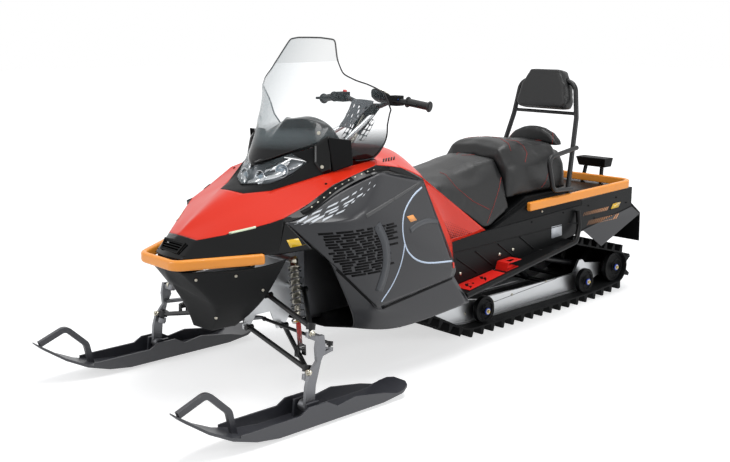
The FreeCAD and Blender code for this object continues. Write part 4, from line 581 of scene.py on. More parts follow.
def pad_from(name, voxel, shrink, cap, rounds, frames=12):
    """A foam pad in place of a CAD solid: remeshed, rounded, swollen and capped."""
    bm = cad_copy(name)
    bmesh.ops.recalc_face_normals(bm, faces=bm.faces)
    piece = new_piece(name + "_pad", bm, vinyl_seat)
    low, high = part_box(name)
    remesh = piece.modifiers.new("even", "REMESH")
    remesh.mode, remesh.voxel_size, remesh.use_smooth_shade = "VOXEL", voxel, True
    mesh = bpy.data.meshes.new_from_object(evaluated(piece))
    piece.modifiers.clear()
    piece.data = mesh
    bm = bmesh.new()
    bm.from_mesh(mesh)
    relax(bm, rounds)
    bm.normal_update()
    for vert in bm.verts:
        vert.co -= vert.normal * shrink
    bm.to_mesh(mesh)
    bm.free()
    start = [v.co.copy() for v in mesh.vertices]
    cloth = piece.modifiers.new("swell", "CLOTH")
    cloth.settings.use_pressure = True
    cloth.settings.uniform_pressure_force = 4.0
    cloth.settings.effector_weights.gravity = 0.0
    cloth.point_cache.frame_start, cloth.point_cache.frame_end = 1, frames
    for frame_number in range(1, frames + 1):
        scene.frame_set(frame_number)
    swollen = [v.co.copy() for v in evaluated(piece).data.vertices]
    piece.modifiers.clear()
    for vert, a, b in zip(mesh.vertices, start, swollen):
        move = b - a
        if move.length > cap:
            move.length = cap
        vert.co = a + move
    scene.frame_set(1)
    bm = bmesh.new()
    bm.from_mesh(mesh)
    relax(bm, 4)
    bm.to_mesh(mesh)
    bm.free()
    for vert in mesh.vertices:
        vert.co = [min(max(c, l), h) for c, l, h in zip(vert.co, low, high)]
    for polygon in mesh.polygons:
        polygon.use_smooth = True
    smooth = piece.modifiers.new("smooth", "SUBSURF")
    smooth.levels = smooth.render_levels = 1
    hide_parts(name)
    print(name, "padded:", len(mesh.polygons), "faces")
    return piece


# %% [markdown]
# The rider's seat is the softest pad and swells most. The head pad is a firm moulding with drawn
# corners, so it is barely smoothed and hardly swells.

# %% Pads
rider = pad_from("rider_seat", voxel=9 * mm, shrink=4 * mm, cap=6 * mm, rounds=9)
passenger = pad_from("passenger_seat", voxel=9 * mm, shrink=3 * mm, cap=4 * mm, rounds=8)
bolster = pad_from("seat_bolster", voxel=5 * mm, shrink=2 * mm, cap=5 * mm, rounds=6)
pad_from("back_pad", voxel=6 * mm, shrink=1 * mm, cap=3 * mm, rounds=2)

# %% [markdown]
# ## Windshield
# The windshield is one tall sheet, wrapped round the driver with a soft fold down its middle.
# Its open edge carries a thin black rubber bead, which finishes the cut and is what the eye
# reads first on a clear sheet. The sheet is a bent grid, and the bead is a round section run
# along the sheet's own edge, so the two can't part.

# %% Beads along an edge


def edge_loops(mesh):
    """The open edges of a mesh as ordered rings of points."""
    bm = bmesh.new()
    bm.from_mesh(mesh)
    left = {e for e in bm.edges if e.is_boundary}
    rings = []
    while left:
        edge = left.pop()
        ring = [edge.verts[0], edge.verts[1]]
        while True:
            following = [e for e in ring[-1].link_edges if e in left]
            if not following:
                break
            left.discard(following[0])
            ring.append(following[0].other_vert(ring[-1]))
        rings.append([v.co.copy() for v in ring])
    bm.free()
    return rings


def bead(name, runs, radius, material, sides=3):
    """Round sections run along lines of points, made one mesh."""
    curve = bpy.data.curves.new(name, "CURVE")
    curve.dimensions, curve.bevel_depth, curve.bevel_resolution = "3D", radius, sides
    curve.use_fill_caps = True
    for run in runs:
        spline = curve.splines.new("POLY")
        spline.points.add(len(run) - 1)
        for point, co in zip(spline.points, run):
            point.co = (*co, 1)
    holder = bpy.data.objects.new(name, curve)
    scene.collection.objects.link(holder)
    mesh = bpy.data.meshes.new_from_object(evaluated(holder))
    bpy.data.objects.remove(holder)
    bm = bmesh.new()
    bm.from_mesh(mesh)
    print(name, len(runs), "runs,", len(bm.faces), "faces")
    return new_piece(name, bm, material)


# %% [markdown]
# The sheet starts as one flat grid. Two tables give the height of its upper and its lower edge
# at each distance from the middle, and one formula bends it: a straight raked keel, wrapped back
# more strongly at the foot than at the top.

# %% The sheet and its bead


def between_rows(table, at):
    """A value between the rows of a table, on the straight line from one to the next."""
    for (x0, v0), (x1, v1) in zip(table, table[1:]):
        if at <= x1:
            return v0 + (v1 - v0) * ((at - x0) / (x1 - x0))
    return table[-1][1]


WRAP_FOOT, WRAP_MIDDLE, WRAP_TOP, WRAP_MOST = 0.00453, 0.00216, 0.00118, 0.0052


def sheet_point(y, z):
    """The windshield's outer face: a straight raked keel that wraps back to the sides, in mm."""
    keel = 894 - 0.611 * (z - 918)
    wrap = WRAP_FOOT + (z - 937) * (WRAP_MIDDLE - WRAP_FOOT) / 150
    if z > 1087:
        wrap = WRAP_MIDDLE + (min(z, 1221) - 1087) * (WRAP_TOP - WRAP_MIDDLE) / 134
    return Vector((keel - min(wrap, WRAP_MOST) * y * y, y, z)) * mm


tops = [(0, 1442), (75, 1441), (148, 1433), (195, 1352), (240, 1297), (262, 1287), (300, 1270), (340, 1256),
        (380, 1236), (403, 1214)]
feet = [(0, 918), (75, 945), (148, 981), (195, 1006), (240, 1030), (262, 926), (300, 937), (340, 1010),
        (380, 1087), (403, 1160)]
HALF_WIDTH = 403
bm = bmesh.new()
bmesh.ops.create_grid(bm, x_segments=96, y_segments=30, size=0.5)
for vert in bm.verts:
    across, up = vert.co.x * 2, vert.co.y + 0.5
    y = HALF_WIDTH * across
    low, high = between_rows(feet, abs(y)), between_rows(tops, abs(y))
    vert.co = sheet_point(y, low + (high - low) * up)
for _ in range(3):
    bmesh.ops.smooth_vert(bm, verts=[v for v in bm.verts if v.is_boundary], factor=0.4,
                          use_axis_x=True, use_axis_y=False, use_axis_z=True)
bmesh.ops.recalc_face_normals(bm, faces=bm.faces)
if sum(f.normal.x for f in bm.faces) < 0:
    bmesh.ops.reverse_faces(bm, faces=bm.faces)
shield = new_piece("windshield_sheet", bm, shield_clear)
rim = edge_loops(shield.data)
walled(shield, 3 * mm)
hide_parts("windshield")
trim_rubber = finish("EPDM edge trim", "0A0A0B", 0.5, grain=1.5, relief=0.1)
inward = []
for ring in rim:
    start = next(i for i, p in enumerate(ring) if abs(p.y) < 0.03 and p.z < 1.0)
    run = [p - Vector((1.5 * mm, 0, 0)) for p in ring[start:] + ring[1:start + 1]
           if abs(p.y) > 0.262 or p.z > 1.1]
    inward.append(run)
bead("windshield_edge_trim", inward, 3.2 * mm, trim_rubber)
print("windshield rim:", [len(r) for r in rim])

# %% [markdown]
# ## Thin things laid on a surface
# Graphics on a machine like this are cut from vinyl film and pressed on, and seams are sewn
# into the covers. Both follow the surface under them. A large shape is drawn flat, seen from the
# side, and every point of it is dropped onto the panel with a ray. A small one is placed by the
# ray that the lens sends through its place in the frame. The film keeps a hair's breadth off the
# panel, and the right side is the left side mirrored.

# %% Rays onto the finished surfaces
FRAME_WIDE, FRAME_HIGH = 730, 462


def surface_of(*pieces):
    """One search tree over finished pieces, for dropping points onto them."""
    verts, faces = [], []
    for piece in pieces:
        mesh = evaluated(piece).data
        base = len(verts)
        verts += [piece.matrix_world @ v.co for v in mesh.vertices]
        faces += [[base + i for i in p.vertices] for p in mesh.polygons]
    return BVHTree.FromPolygons(verts, faces)


def drop(tree, x, z, lift=0.5 * mm, y=0.9):
    """The point of a surface seen straight from the left at a place along and a height, in mm."""
    hit, normal, _, _ = tree.ray_cast(Vector((x * mm, y, z * mm)), Vector((0, -1, 0)))
    if hit is None:
        return None
    if normal.y < 0:
        normal = -normal
    return hit + normal * lift


def spaced(a, b, steps):
    """Evenly spaced points from a to b, both included."""
    return [tuple(p + (q - p) * i / steps for p, q in zip(a, b)) for i in range(steps + 1)]


def lens_ray(px, py):
    """The direction that the lens looks in at a place of the frame, in pixels."""
    right = VIEW_AHEAD.cross(Vector((0, 0, 1))).normalized()
    down = VIEW_AHEAD.cross(right)
    reach = LENS / SENSOR * FRAME_WIDE
    return (VIEW_AHEAD * reach + right * (px - FRAME_WIDE / 2) + down * (py - FRAME_HIGH / 2)).normalized()


def seen(tree, px, py, lift=0.5 * mm):
    """The point of a surface that the lens shows at a place of the frame."""
    ray = lens_ray(px, py)
    hit, normal, _, _ = tree.ray_cast(VIEW_FROM, ray)
    if hit is None:
        return None
    if normal.dot(ray) > 0:
        normal = -normal
    return hit + normal * lift


def film(name, patches, material, both=True, thick=0.3 * mm):
    """Patches of film, each a grid of points already on the surface, as one thin piece."""
    bm = bmesh.new()
    for rows in patches:
        wide, high = len(rows[0]) - 1, len(rows) - 1
        grid = bmesh.ops.create_grid(bm, x_segments=wide, y_segments=high, size=0.5)["verts"]
        points = [p for row in rows for p in row]
        for vert, point in zip(grid, points):
            if point is not None:
                vert.co = point
        bmesh.ops.delete(bm, geom=[v for v, point in zip(grid, points) if point is None], context="VERTS")
    bmesh.ops.delete(bm, geom=[v for v in bm.verts if not v.link_faces], context="VERTS")
    if both:
        bmesh.ops.mirror(bm, geom=bm.verts[:] + bm.edges[:] + bm.faces[:], axis="Y", merge_dist=0.0)
    bmesh.ops.recalc_face_normals(bm, faces=bm.faces)
    bm.normal_update()
    for face in bm.faces:
        if face.normal.y * face.calc_center_median().y < 0:
            face.normal_flip()
    piece = new_piece(name, bm, material)
    walled(piece, thick, offset=1.0)
    print(name, len(piece.data.polygons), "faces of film")
    return piece


def bar_of_film(tree, a, b, wide, slant=0.0, steps=6):
    """A strip between two side-view points, in mm; slant pushes its upper edge forward."""
    a, b = Vector(a), Vector(b)
    along = (b - a).normalized()
    across = Vector((-along.y, along.x))
    rows = []
    for side in (-0.5, 0.5):
        shift = across * wide * side + along * slant * side
        rows.append([drop(tree, *(a.lerp(b, i / steps) + shift)) for i in range(steps + 1)])
    return rows


# %% [markdown]
# The side panel carries plain generic graphics: silver dashes that thin out under the vent, a
# field of black dashes in front, two pale pinstripes, two grey bands and one orange flash. Dash
# lengths come from a seeded generator, so they look loose and are the same at every run.

# %% Side panel film
film_silver = finish("silver vinyl film", "C9CDD2", 0.32, grain=3, relief=0.04, drift=0.05)
film_black = finish("black vinyl film", "050506", 0.5, grain=3, relief=0.04, shine=0.08)
film_pale = finish("pale blue vinyl film", "C3D2E6", 0.36, grain=3, relief=0.04, drift=0.03)
film_orange = finish("orange vinyl film", "F0A055", 0.38, grain=3, relief=0.04, drift=0.04)
film_grey = finish("dark grey vinyl film", "34373C", 0.34, grain=3, relief=0.04, drift=0.04)
flank = surface_of(panels["side_panel_left"])
luck = random.Random(7)

dashes = []
for row, ends in enumerate([((955, 735), (560, 868)), ((930, 733), (540, 858)), ((900, 734), (620, 826)),
                            ((860, 737), (700, 789))]):
    a, b = (Vector(end) for end in ends)
    run = (b - a).length
    at = luck.uniform(0, 20)
    while at < run - 20:
        long = max(9, luck.uniform(50, 120) * (1 - at / run) * (1 - row * 0.12))
        p, q = a.lerp(b, at / run), a.lerp(b, min(1, (at + long) / run))
        dashes.append(bar_of_film(flank, p, q, 5.5 - at / run * 2.5, slant=-14, steps=4))
        at += long + luck.uniform(8, 26) * (1 + 2.2 * at / run)
film("side_dashes_silver", dashes, film_silver)

field, ROWS, PITCH = [], 17, 11.5
for row in range(ROWS):
    z = 690 - row * PITCH
    x = 880 - row * 6 - luck.uniform(0, 30)
    while x > 545 + row * 2:
        long = luck.uniform(24, 78)
        field.append(bar_of_film(flank, (x, z), (x - long, z), 8.6, slant=3, steps=3))
        x -= long + luck.uniform(6, 16)
film("side_dashes_black", field, film_black)


def ribbon(tree, line, wide, lift=0.5 * mm, smooth=8):
    """A strip of constant width along a smooth line through side-view points, in mm."""
    line = [Vector(p) for p in line]
    fine = []
    padded = [line[0] * 2 - line[1]] + line + [line[-1] * 2 - line[-2]]
    for k in range(1, len(padded) - 2):
        p0, p1, p2, p3 = padded[k - 1:k + 3]
        for i in range(smooth):
            t = i / smooth
            fine.append(0.5 * (2 * p1 + (p2 - p0) * t + (2 * p0 - 5 * p1 + 4 * p2 - p3) * t * t
                               + (3 * p1 - p0 - 3 * p2 + p3) * t * t * t))
    fine.append(line[-1])
    rows = [[], []]
    for i, p in enumerate(fine):
        along = (fine[min(i + 1, len(fine) - 1)] - fine[max(i - 1, 0)]).normalized()
        across = Vector((-along.y, along.x))
        for row, side in zip(rows, (-0.5, 0.5)):
            row.append(drop(tree, *(p + across * wide * side), lift=lift))
    return rows


film("side_pinstripes", [
    ribbon(flank, [(238, 800), (330, 770), (420, 715), (455, 640), (430, 560), (330, 500), (130, 470)], 7.5),
    ribbon(flank, [(575, 372), (520, 430), (480, 500), (452, 600)], 6.5),
], film_pale)
film("side_shade_bands", [
    ribbon(flank, [(610, 700), (570, 620), (560, 520), (590, 420)], 42, lift=1.2 * mm),
    ribbon(flank, [(150, 640), (240, 660), (330, 660), (400, 645)], 20, lift=1.2 * mm),
], film_grey)
film("side_flash_orange", [bar_of_film(flank, (395, 690), (345, 690), 26, slant=20, steps=3)],
     film_orange)

# %% [markdown]
# Reflectors are moulded acrylic with a field of tiny cube corners behind a smooth face, so they
# look flat and bright. The marker strip under the hood's edge is a light guide of milky acrylic.

# %% Reflectors and the marker strip
amber = finish("amber reflector acrylic", "F2C418", 0.2, grain=2.4, relief=0.25, drift=0.05, coat=0.6)
milky = finish("milky light guide acrylic", "DDEBCB", 0.25, grain=4, relief=0.05, drift=0.03, coat=0.5)
wing = surface_of(*panels.values())
lower, upper = ((290.5, 247.5), (305.5, 244.5)), ((286.5, 240.0), (302.0, 237.5))
patch = [[seen(wing, *place, lift=1.6 * mm) for place in spaced(*ends, 4)] for ends in (lower, upper)]
film("wing_reflectors", [patch], amber, thick=1.2 * mm)
strip = [[seen(wing, *place, lift=1.0 * mm) for place in spaced((229, y), (256, y - 6.2), 8)]
         for y in (234.4, 232.4)]
film("marker_strips", [strip], milky, thick=0.8 * mm)

# %% [markdown]
# ## Seams
# The covers are sewn from several pieces of vinyl, with one row of red lockstitch beside each
# seam: a 6 mm stitch, then a 3 mm gap. Every stitch is a short bead of thread laid on the cover,
# so the row keeps its rhythm however the pad bends. A point that leaps off the cover is passed
# over.

# %% Stitching
thread_red = finish("bonded polyester thread", "A82A22", 0.6, grain=0.6, relief=0.3)
THREAD, STITCH, GAP, LEAP = 1.1 * mm, 6 * mm, 3 * mm, 60 * mm


def mirrored(runs):
    """Lines of points on the left, and the same lines on the right."""
    return runs + [[Vector((p.x, -p.y, p.z)) for p in run] for run in runs]


def stitch(name, tree, lines):
    """Rows of stitches along lines of frame places, dropped onto a padded piece."""
    runs = []
    for line in lines:
        near = []
        for place in [place for a, b in zip(line, line[1:]) for place in spaced(a, b, 14)[:-1]]:
            p = seen(tree, *place, lift=0.6 * mm)
            if p is not None and (not near or (p - near[-1]).length < LEAP):
                near.append(p)
        at, done = 0.0, 0.0
        ends = []
        for a, b in zip(near, near[1:]):
            span = (b - a).length
            while done <= at + span and span > 0:
                ends.append(a.lerp(b, (done - at) / span))
                done += STITCH if len(ends) % 2 else GAP
            at += span
        runs += [ends[i:i + 2] for i in range(0, len(ends) - 1, 2)]
    bead(name, mirrored(runs), THREAD, thread_red, sides=1)


stitch("rider_seams", surface_of(rider), [
    [(440.0, 172.5), (445.5, 174.5), (456.4, 187.5), (472.9, 201.2), (490.7, 210.1)],
    [(504.4, 158.0), (502.3, 171.0), (498.9, 188.9), (493.4, 206.7), (486.6, 224.5)],
    [(461.9, 155.3), (475.6, 154.7), (487.9, 156.0), (496.2, 159.5), (501.6, 167.0)],
    [(504.4, 158.0), (516.7, 164.2), (524.9, 172.5), (530.4, 184.8), (532.0, 194.4)],
])
stitch("passenger_seams", surface_of(passenger), [
    [(492.0, 136.8), (500.3, 138.2), (508.5, 143.7), (511.2, 151.9)],
    [(505.8, 139.6), (516.7, 141.0), (523.6, 146.4), (527.0, 153.3), (524.9, 162.9)],
    [(549.6, 160.1), (548.9, 171.1), (545.5, 182.1), (541.4, 187.5)],
])
stitch("bolster_seams", surface_of(bolster), [
    [(520.8, 138.2), (535.9, 141.0), (546.8, 146.4), (552.3, 151.9)],
    [(552.3, 126.0), (553.0, 138.2), (551.6, 147.8)],
])

# %% [markdown]
# ## Turned parts and fasteners
# Bolts, hubs, lamp bowls and the gauge are all turned: one outline spun round an axis. The
# outline gives a chamfer to each edge, which is what catches the light on a small part. Many
# small parts of one kind share a piece, and their places come from rays onto what carries them.

# %% Spin an outline


def right_side(jobs):
    """Turned jobs on the left, moved over to the right."""
    return [(outline, (w[0], -w[1], w[2]), (a[0], -a[1], a[2])) for outline, w, a in jobs]


def turned(name, jobs, material, body="chassis", steps=24, both=True):
    """Outlines of (radius, height) in mm, each spun round an axis at a place in metres."""
    bm = bmesh.new()
    if both:
        jobs = jobs + right_side(jobs)
    for outline, where, axis in jobs:
        axis, where = Vector(axis).normalized(), Vector(where)
        side = axis.orthogonal().normalized()
        verts = [bm.verts.new(where + side * r * mm + axis * h * mm) for r, h in outline]
        edges = [bm.edges.new(two) for two in zip(verts, verts[1:])]
        bmesh.ops.spin(bm, geom=verts + edges, axis=axis, cent=where, dvec=(0, 0, 0), angle=math.tau,
                       steps=steps, use_merge=True, use_duplicate=False)
    bmesh.ops.remove_doubles(bm, verts=bm.verts, dist=0.005 * mm)
    bmesh.ops.recalc_face_normals(bm, faces=bm.faces)
    piece = new_piece(name, bm, material, body=body)
    piece.data.set_sharp_from_angle(angle=math.radians(40))
    print(name, len(jobs), "turned,", len(piece.data.polygons), "faces")
    return piece


def head(radius, high):
    """A button head: a flat foot, a short wall, a domed top and a small socket."""
    return [(0, -1.5), (radius, -1.5), (radius, high * 0.35), (radius * 0.82, high * 0.85), (radius * 0.45, high),
            (radius * 0.38, high * 0.55), (0, high * 0.55)]


def on_side(tree, places, outline):
    """Turned jobs standing straight out of a side surface at side-view points, in mm."""
    found = [drop(tree, x, z, lift=0.0) for x, z in places]
    return [(outline, tuple(p), (0, 1, 0)) for p in found if p is not None]


# %% [markdown]
# The skid wheels are moulded plastic on steel bearings. What shows is the bearing's blue seal,
# a washer and a bolt with a yellow zinc finish, all in the middle of a stepped disc.

# %% Wheel hubs
seal_blue = finish("blue nitrile bearing seal", "2448B8", 0.4, grain=1.2, relief=0.1)
zinc_yellow = finish("yellow passivated zinc", "BFA765", 0.3, metal=1.0, grain=1.0, relief=0.12)
wheels = surface_of(soft["skid_wheels"])
axles = [(-349, 106), (-1193, 109), (-1460, 148)]
seal = [(0, -2), (17, -2), (17, 3.2), (15.5, 4), (11, 4), (11, 2.5), (0, 2.5)]
washer = [(0, 0), (13.5, 0), (13.5, 5), (12.6, 5.8), (0, 5.8)]
hexagon = [(0, 4), (8, 4), (8, 10), (6.8, 11.5), (0, 11.5)]
rim_step = [(44, -1), (47, -1), (47, 2.2), (46, 3), (45, 3), (44, 2.2), (44, -1)]
for name, outline, material, slot, steps in [
    ("wheel_seals", seal, seal_blue, "black_plastic", 24),
    ("wheel_washers", washer, zinc_steel, "zinc_steel", 24),
    ("wheel_bolts", hexagon, zinc_yellow, "zinc_steel", 6),
    ("wheel_rim_steps", rim_step, dull_black, "black_plastic", 40),
]:
    turned(name, on_side(wheels, axles, outline), material, steps=steps)

# %% [markdown]
# The tunnel and the rails are held by button heads: large plated bolts where load is carried,
# small dark screws along the sheet. One table gives each row's surface, places and size.

# %% Bolts on the sides
sides_tree = surface_of(nodes["tunnel"], nodes["running_boards"])
rails = surface_of(soft["skid_rails"])
for name, tree, places, size, material, slot, steps in [
    ("tunnel_bolts", sides_tree, [(-109, 343), (-393, 392), (-395, 354), (-495, 400)],
     (9, 5), zinc_steel, "zinc_steel", 14),
    ("tunnel_screws", sides_tree, [(-640, 520), (-900, 535), (-1120, 545), (-1380, 560), (-1180, 470),
                                   (-1330, 500), (-1480, 520)], (5, 3), dull_black, "black_plastic", 10),
    ("rail_bolts", rails, [(-470, 118), (-620, 128), (-905, 150), (-1010, 158), (-1095, 262), (-260, 96)],
     (7, 4), zinc_steel, "zinc_steel", 12),
]:
    turned(name, on_side(tree, places, head(*size)), material, steps=steps)

# %% [markdown]
# An extruded rail has a groove along its side, and the vent between hood and panel is a slot
# with a liner behind it and a row of small bright screws in it. Seen from outside, groove and slot
# are only dark lines that follow the part, so each is a thin ribbon on the surface or a little
# behind it. The dark of the groove and of the slot is painted shade.

# %% Rail grooves and side vents
vent_tree = surface_of(panels["side_vents"])
groove = finish("shadowed extrusion groove", "4A4C50", 0.5, metal=1.0)
film("rail_grooves", [bar_of_film(rails, (-430, 112), (-1110, 156), 2.6, steps=24)], groove)
slot_line = [(905, 769), (850, 792), (745, 848), (640, 884), (540, 903), (430, 899)]
# A duller black ribbon along the vent: painted shade of the slot's recess.
film("vent_slot_painted_shade", [ribbon(vent_tree, slot_line, 13, smooth=10)], dull_black)
gap_tree = surface_of(panels["side_vents"], panels["side_panel_left"])
liner_line = [(900, 752), (850, 774), (745, 828), (640, 862), (540, 884), (440, 884)]
film("vent_liners", [ribbon(gap_tree, liner_line, 44, lift=-9 * mm, smooth=10)], dull_black,
     thick=1.5 * mm)
screw_line = [(860, 789), (830, 805), (800, 820), (770, 835), (740, 850), (705, 863), (670, 875), (635, 885),
              (600, 893), (565, 900), (530, 904)]
turned("vent_screws", on_side(vent_tree, screw_line, head(4.2, 3)), zinc_steel, steps=10)

# %% [markdown]
# The rear of the tunnel side carries a hatch of short slanted bars that fade out forward, a
# reflector and a blank plate. The red trim under the seat has dots that shrink away, and a pale
# flash runs on from the tip of the rear bumper. All are cut film, so all use one thin sheet.

# %% Rear side graphics
peach = finish("peach vinyl film", "D99B6C", 0.4, grain=3, relief=0.04, drift=0.04)
rear_tree = surface_of(nodes["tunnel"], soft["rear_fenders"])
RISE = 0.24


def slab_px(tree, x, y, wide, high, lean, lift=0.5 * mm):
    """A leaning bar, from its lower left corner in the frame; its long side rises with the machine."""
    rows = []
    for v in (0.0, 1.0):
        steps = [lean * v + wide * u for u in (0.0, 0.5, 1.0)]
        rows.append([seen(tree, x + step, y - high * v - RISE * step, lift=lift) for step in steps])
    return rows


hatch = [slab_px(rear_tree, 587 + 2.15 * i, 225.4 - 0.5 * i, 0.25 + 0.085 * i, 4.6, 2.6) for i in range(14)]
hatch += [slab_px(rear_tree, 583 + 1.75 * i, 216.0 - 0.42 * i, 0.2 + 0.07 * i, 3.4, 1.8) for i in range(14)]
film("rear_hatch", hatch, peach)
film("rear_reflectors", [slab_px(rear_tree, 610.4, 209.0, 7.6, 4.8, 2.4, lift=1.0 * mm)], amber,
     thick=1.2 * mm)
film("blank_plates", [[[drop(sides_tree, x, z) for x, z in ((-806, 412), (-850, 414), (-893, 417))],
                       [drop(sides_tree, x, z) for x, z in ((-802, 473), (-845, 474), (-889, 474))]]],
     film_silver, thick=0.8 * mm)
trim_tree = surface_of(panels["seat_trim"])
dots = []
for row in range(11):
    for k in range(13 - row):
        x, y = 450.4 + 1.72 * k - 0.62 * row, 238.6 - 0.44 * k - 1.62 * row
        big = 1.12 - 0.075 * row - 0.045 * k
        dots.append(slab_px(trim_tree, x, y, big, big, 0.2, lift=0.6 * mm))
film("trim_dots", dots, film_black)
base_tree = surface_of(soft["seat_base"])
flash_px = [[(526.5, 208.4), (533, 206.8), (539.6, 205.6)], [(527.5, 207.6), (533, 203.4), (538.6, 199.8)]]
film("bumper_tip_flash", [[[seen(base_tree, *place) for place in row] for row in flash_px]], peach)

# %% [markdown]
# Where two mouldings meet, a black strip paints the shadow in the gap between them, and along the
# side panel's fold a paler strip paints the highlight of the crease. Both are strips drawn in the frame and laid
# on the panels. The console has a row of
# short slots near its edge.

# %% Joints, fold and console slots


def strip_px(tree, line, wide_from, wide_to, lift=0.7 * mm):
    """A strip along a line in the frame, its width running from one size to another."""
    rows, spans = [[], []], len(line) - 1
    for k, ((ax, ay), (bx, by)) in enumerate(zip(line, line[1:])):
        long = math.hypot(bx - ax, by - ay)
        nx, ny = (ay - by) / long, (bx - ax) / long
        for i in range(13):
            share = i / 12
            wide = wide_from + (wide_to - wide_from) * (k + share) / spans
            x, y = ax + (bx - ax) * share, ay + (by - ay) * share
            rows[0].append(seen(tree, x + nx * wide / 2, y + ny * wide / 2, lift=lift))
            rows[1].append(seen(tree, x - nx * wide / 2, y - ny * wide / 2, lift=lift))
    return rows


low_flank = surface_of(panels["side_panel_left"], panels["side_skirts"])
# Black strips along the side panel's lower edges: painted shadow in the gaps between the mouldings.
film("panel_gap_painted_shadow", [strip_px(low_flank, [(293, 229), (345, 277.5), (376, 307.2)], 2.4, 2.4),
                           strip_px(low_flank, [(382, 308.4), (452, 278.4)], 2.2, 1.8)],
     film_black)
console_tree = surface_of(panels["console"])
slots_px = [slab_px(console_tree, 382.7 + 2.6 * i, 162.2 - 0.5 * i, 1.5, 3.2, 0.3, lift=1.0 * mm)
            for i in range(5)]
film("console_slots", slots_px, dull_black)
# A paler strip along the side panel's fold: a painted highlight where the crease catches the light.
film("panel_crease_painted_highlight", [strip_px(flank, [(366, 216.5), (394, 199), (421, 182)], 4.0, 2.4, lift=0.5 * mm)],
     finish("painted crease highlight film", "303132", 0.40, grain=4, relief=0.04, shine=0.6))
edge_tree = surface_of(panels["side_panel_left"], panels["seat_trim"])
edge_px = [(446.5, 241), (450.6, 253), (453.2, 262), (453.6, 268)]
film("panel_edge_red", [strip_px(edge_tree, edge_px, 2.6, 1.4, lift=1.0 * mm)], hood_paint)

# %% [markdown]
# ## Headlamps
# Behind the clear lens there is a silver tray. Each side holds two chromed bowls, each with a
# projector in it, and bright blades around them. The metal is vacuum-coated plastic, so it is a
# near perfect mirror: a low roughness and full metallic are enough, and the shapes do the rest.

# %% Lamp tray, bowls and blades
chrome = finish("vacuum coated reflector", "E6E8EA", 0.08, metal=1.0, grain=6, relief=0.03, drift=0.02)
glass_ball = finish("projector lens glass", "9FB4C4", 0.03, grain=8, relief=0.0, coat=1.0)
lamp_silver = finish("silver lacquered lamp tray", "8E9196", 0.3, metal=0.6, grain=5, relief=0.05)
tray = outer_facets("headlamp_lens")
INWARD = Vector((-0.74, 0, -0.40))
for vert in tray.verts:
    vert.co += INWARD * 30 * mm
walled(new_piece("headlamp_tray", tray, lamp_silver, levels=1), 1.5 * mm)
bowl = [(6, -17), (15, -13), (23, -6), (27, 3), (29, 3), (25, -8), (15, -15.5), (6, -19), (6, -17)]
ball = [(0, 4), (7, 2.5), (11, -2), (12.5, -8), (12.5, -13), (0, -13)]
spots = [((0.884, 0.052, 0.876), (0.90, 0.12, 0.12)), ((0.826, 0.124, 0.905), (0.86, 0.42, 0.12))]
turned("headlamp_bowls", [(bowl, w, a) for w, a in spots], chrome, steps=36)
turned("headlamp_projectors", [(ball, w, a) for w, a in spots], glass_ball, steps=28)
lens_tree = surface_of(panels["headlamp_lens"])


def blade(rows_px, deep):
    """Rows of places of the frame, moved straight in behind the lamp lens, for a bright blade."""
    hits = [[seen(lens_tree, x, y, lift=0) for x, y in row] for row in rows_px]
    inward = (INWARD + Vector((0, -0.2, 0))) * deep * mm
    return [[None if p is None else p + inward for p in row] for row in hits]


film("headlamp_blades", [
    blade([[(247, 184.5), (258, 181), (270, 178.5), (283, 175)],
           [(246, 180.5), (258, 176), (271, 172.5), (285, 168.5)]], 12),
    blade([[(262, 172), (274, 168), (286, 163.5)], [(264, 166), (276, 161), (289, 157)]], 20),
    blade([[(287, 171), (296, 167), (303, 164)], [(289, 167.5), (297, 164.2), (304, 161.6)]], 10),
], chrome, thick=1.5 * mm)

# %% [markdown]
# ## Steering tower
# The bar is carried high on a tower: a bent, pierced sheet-metal cover in front, and two bright
# diagonal tubes down to the frame. The pierced sheet starts as a grid. Every square of it is
# inset, the inner square is deleted, and subdivision draws the square holes round.

# %% Pierced sheets


def pierced(name, place, nu, nv, web, material, skip=()):
    """A sheet of nu by nv holes, its points given by place(u, v) with u and v from 0 to 1."""
    bm = bmesh.new()
    bmesh.ops.create_grid(bm, x_segments=nu, y_segments=nv, size=0.5)
    where = {v: (v.co.x + 0.5, v.co.y + 0.5) for v in bm.verts}
    holes = [f for f in bm.faces if (int((f.calc_center_median().x + 0.5) * nu),
                                     int((f.calc_center_median().y + 0.5) * nv)) not in skip]
    for vert, (u, v) in where.items():
        vert.co = place(u, v)
    bmesh.ops.inset_individual(bm, faces=holes, thickness=web, use_even_offset=True)
    bmesh.ops.delete(bm, geom=holes, context="FACES")
    bmesh.ops.solidify(bm, geom=bm.faces[:], thickness=2.2 * mm)
    print(name, len(holes), "holes")
    bmesh.ops.recalc_face_normals(bm, faces=bm.faces)
    return new_piece(name, bm, material, levels=2)


tower_coat = finish("grey textured powder coat", "43464A", 0.5, grain=1.4, relief=0.3, drift=0.06)


def cover_point(u, v):
    """The tower cover: narrow at its foot, wider under the bar, its sides turned back."""
    half = 40 + 38 * v * v
    y = (2 * u - 1) * half
    back = 16 * abs(2 * u - 1) ** 2.5
    return Vector((392 - 118 * v - back, y, 1046 + 118 * v - 6 * abs(2 * u - 1) ** 2)) * mm


middle_skip = [(u, v) for u in range(7) for v in range(6) if (u + v) % 2 or u == 3 or v == 5]
pierced("tower_cover", cover_point, 7, 6, 4.6 * mm, tower_coat, skip=middle_skip)


def bracket_point(u, v):
    """The side bracket under the tower, on the left."""
    return Vector((352 - 84 * v - 46 * u * (1 - 0.35 * v), 54, 992 + 90 * v - 12 * u)) * mm


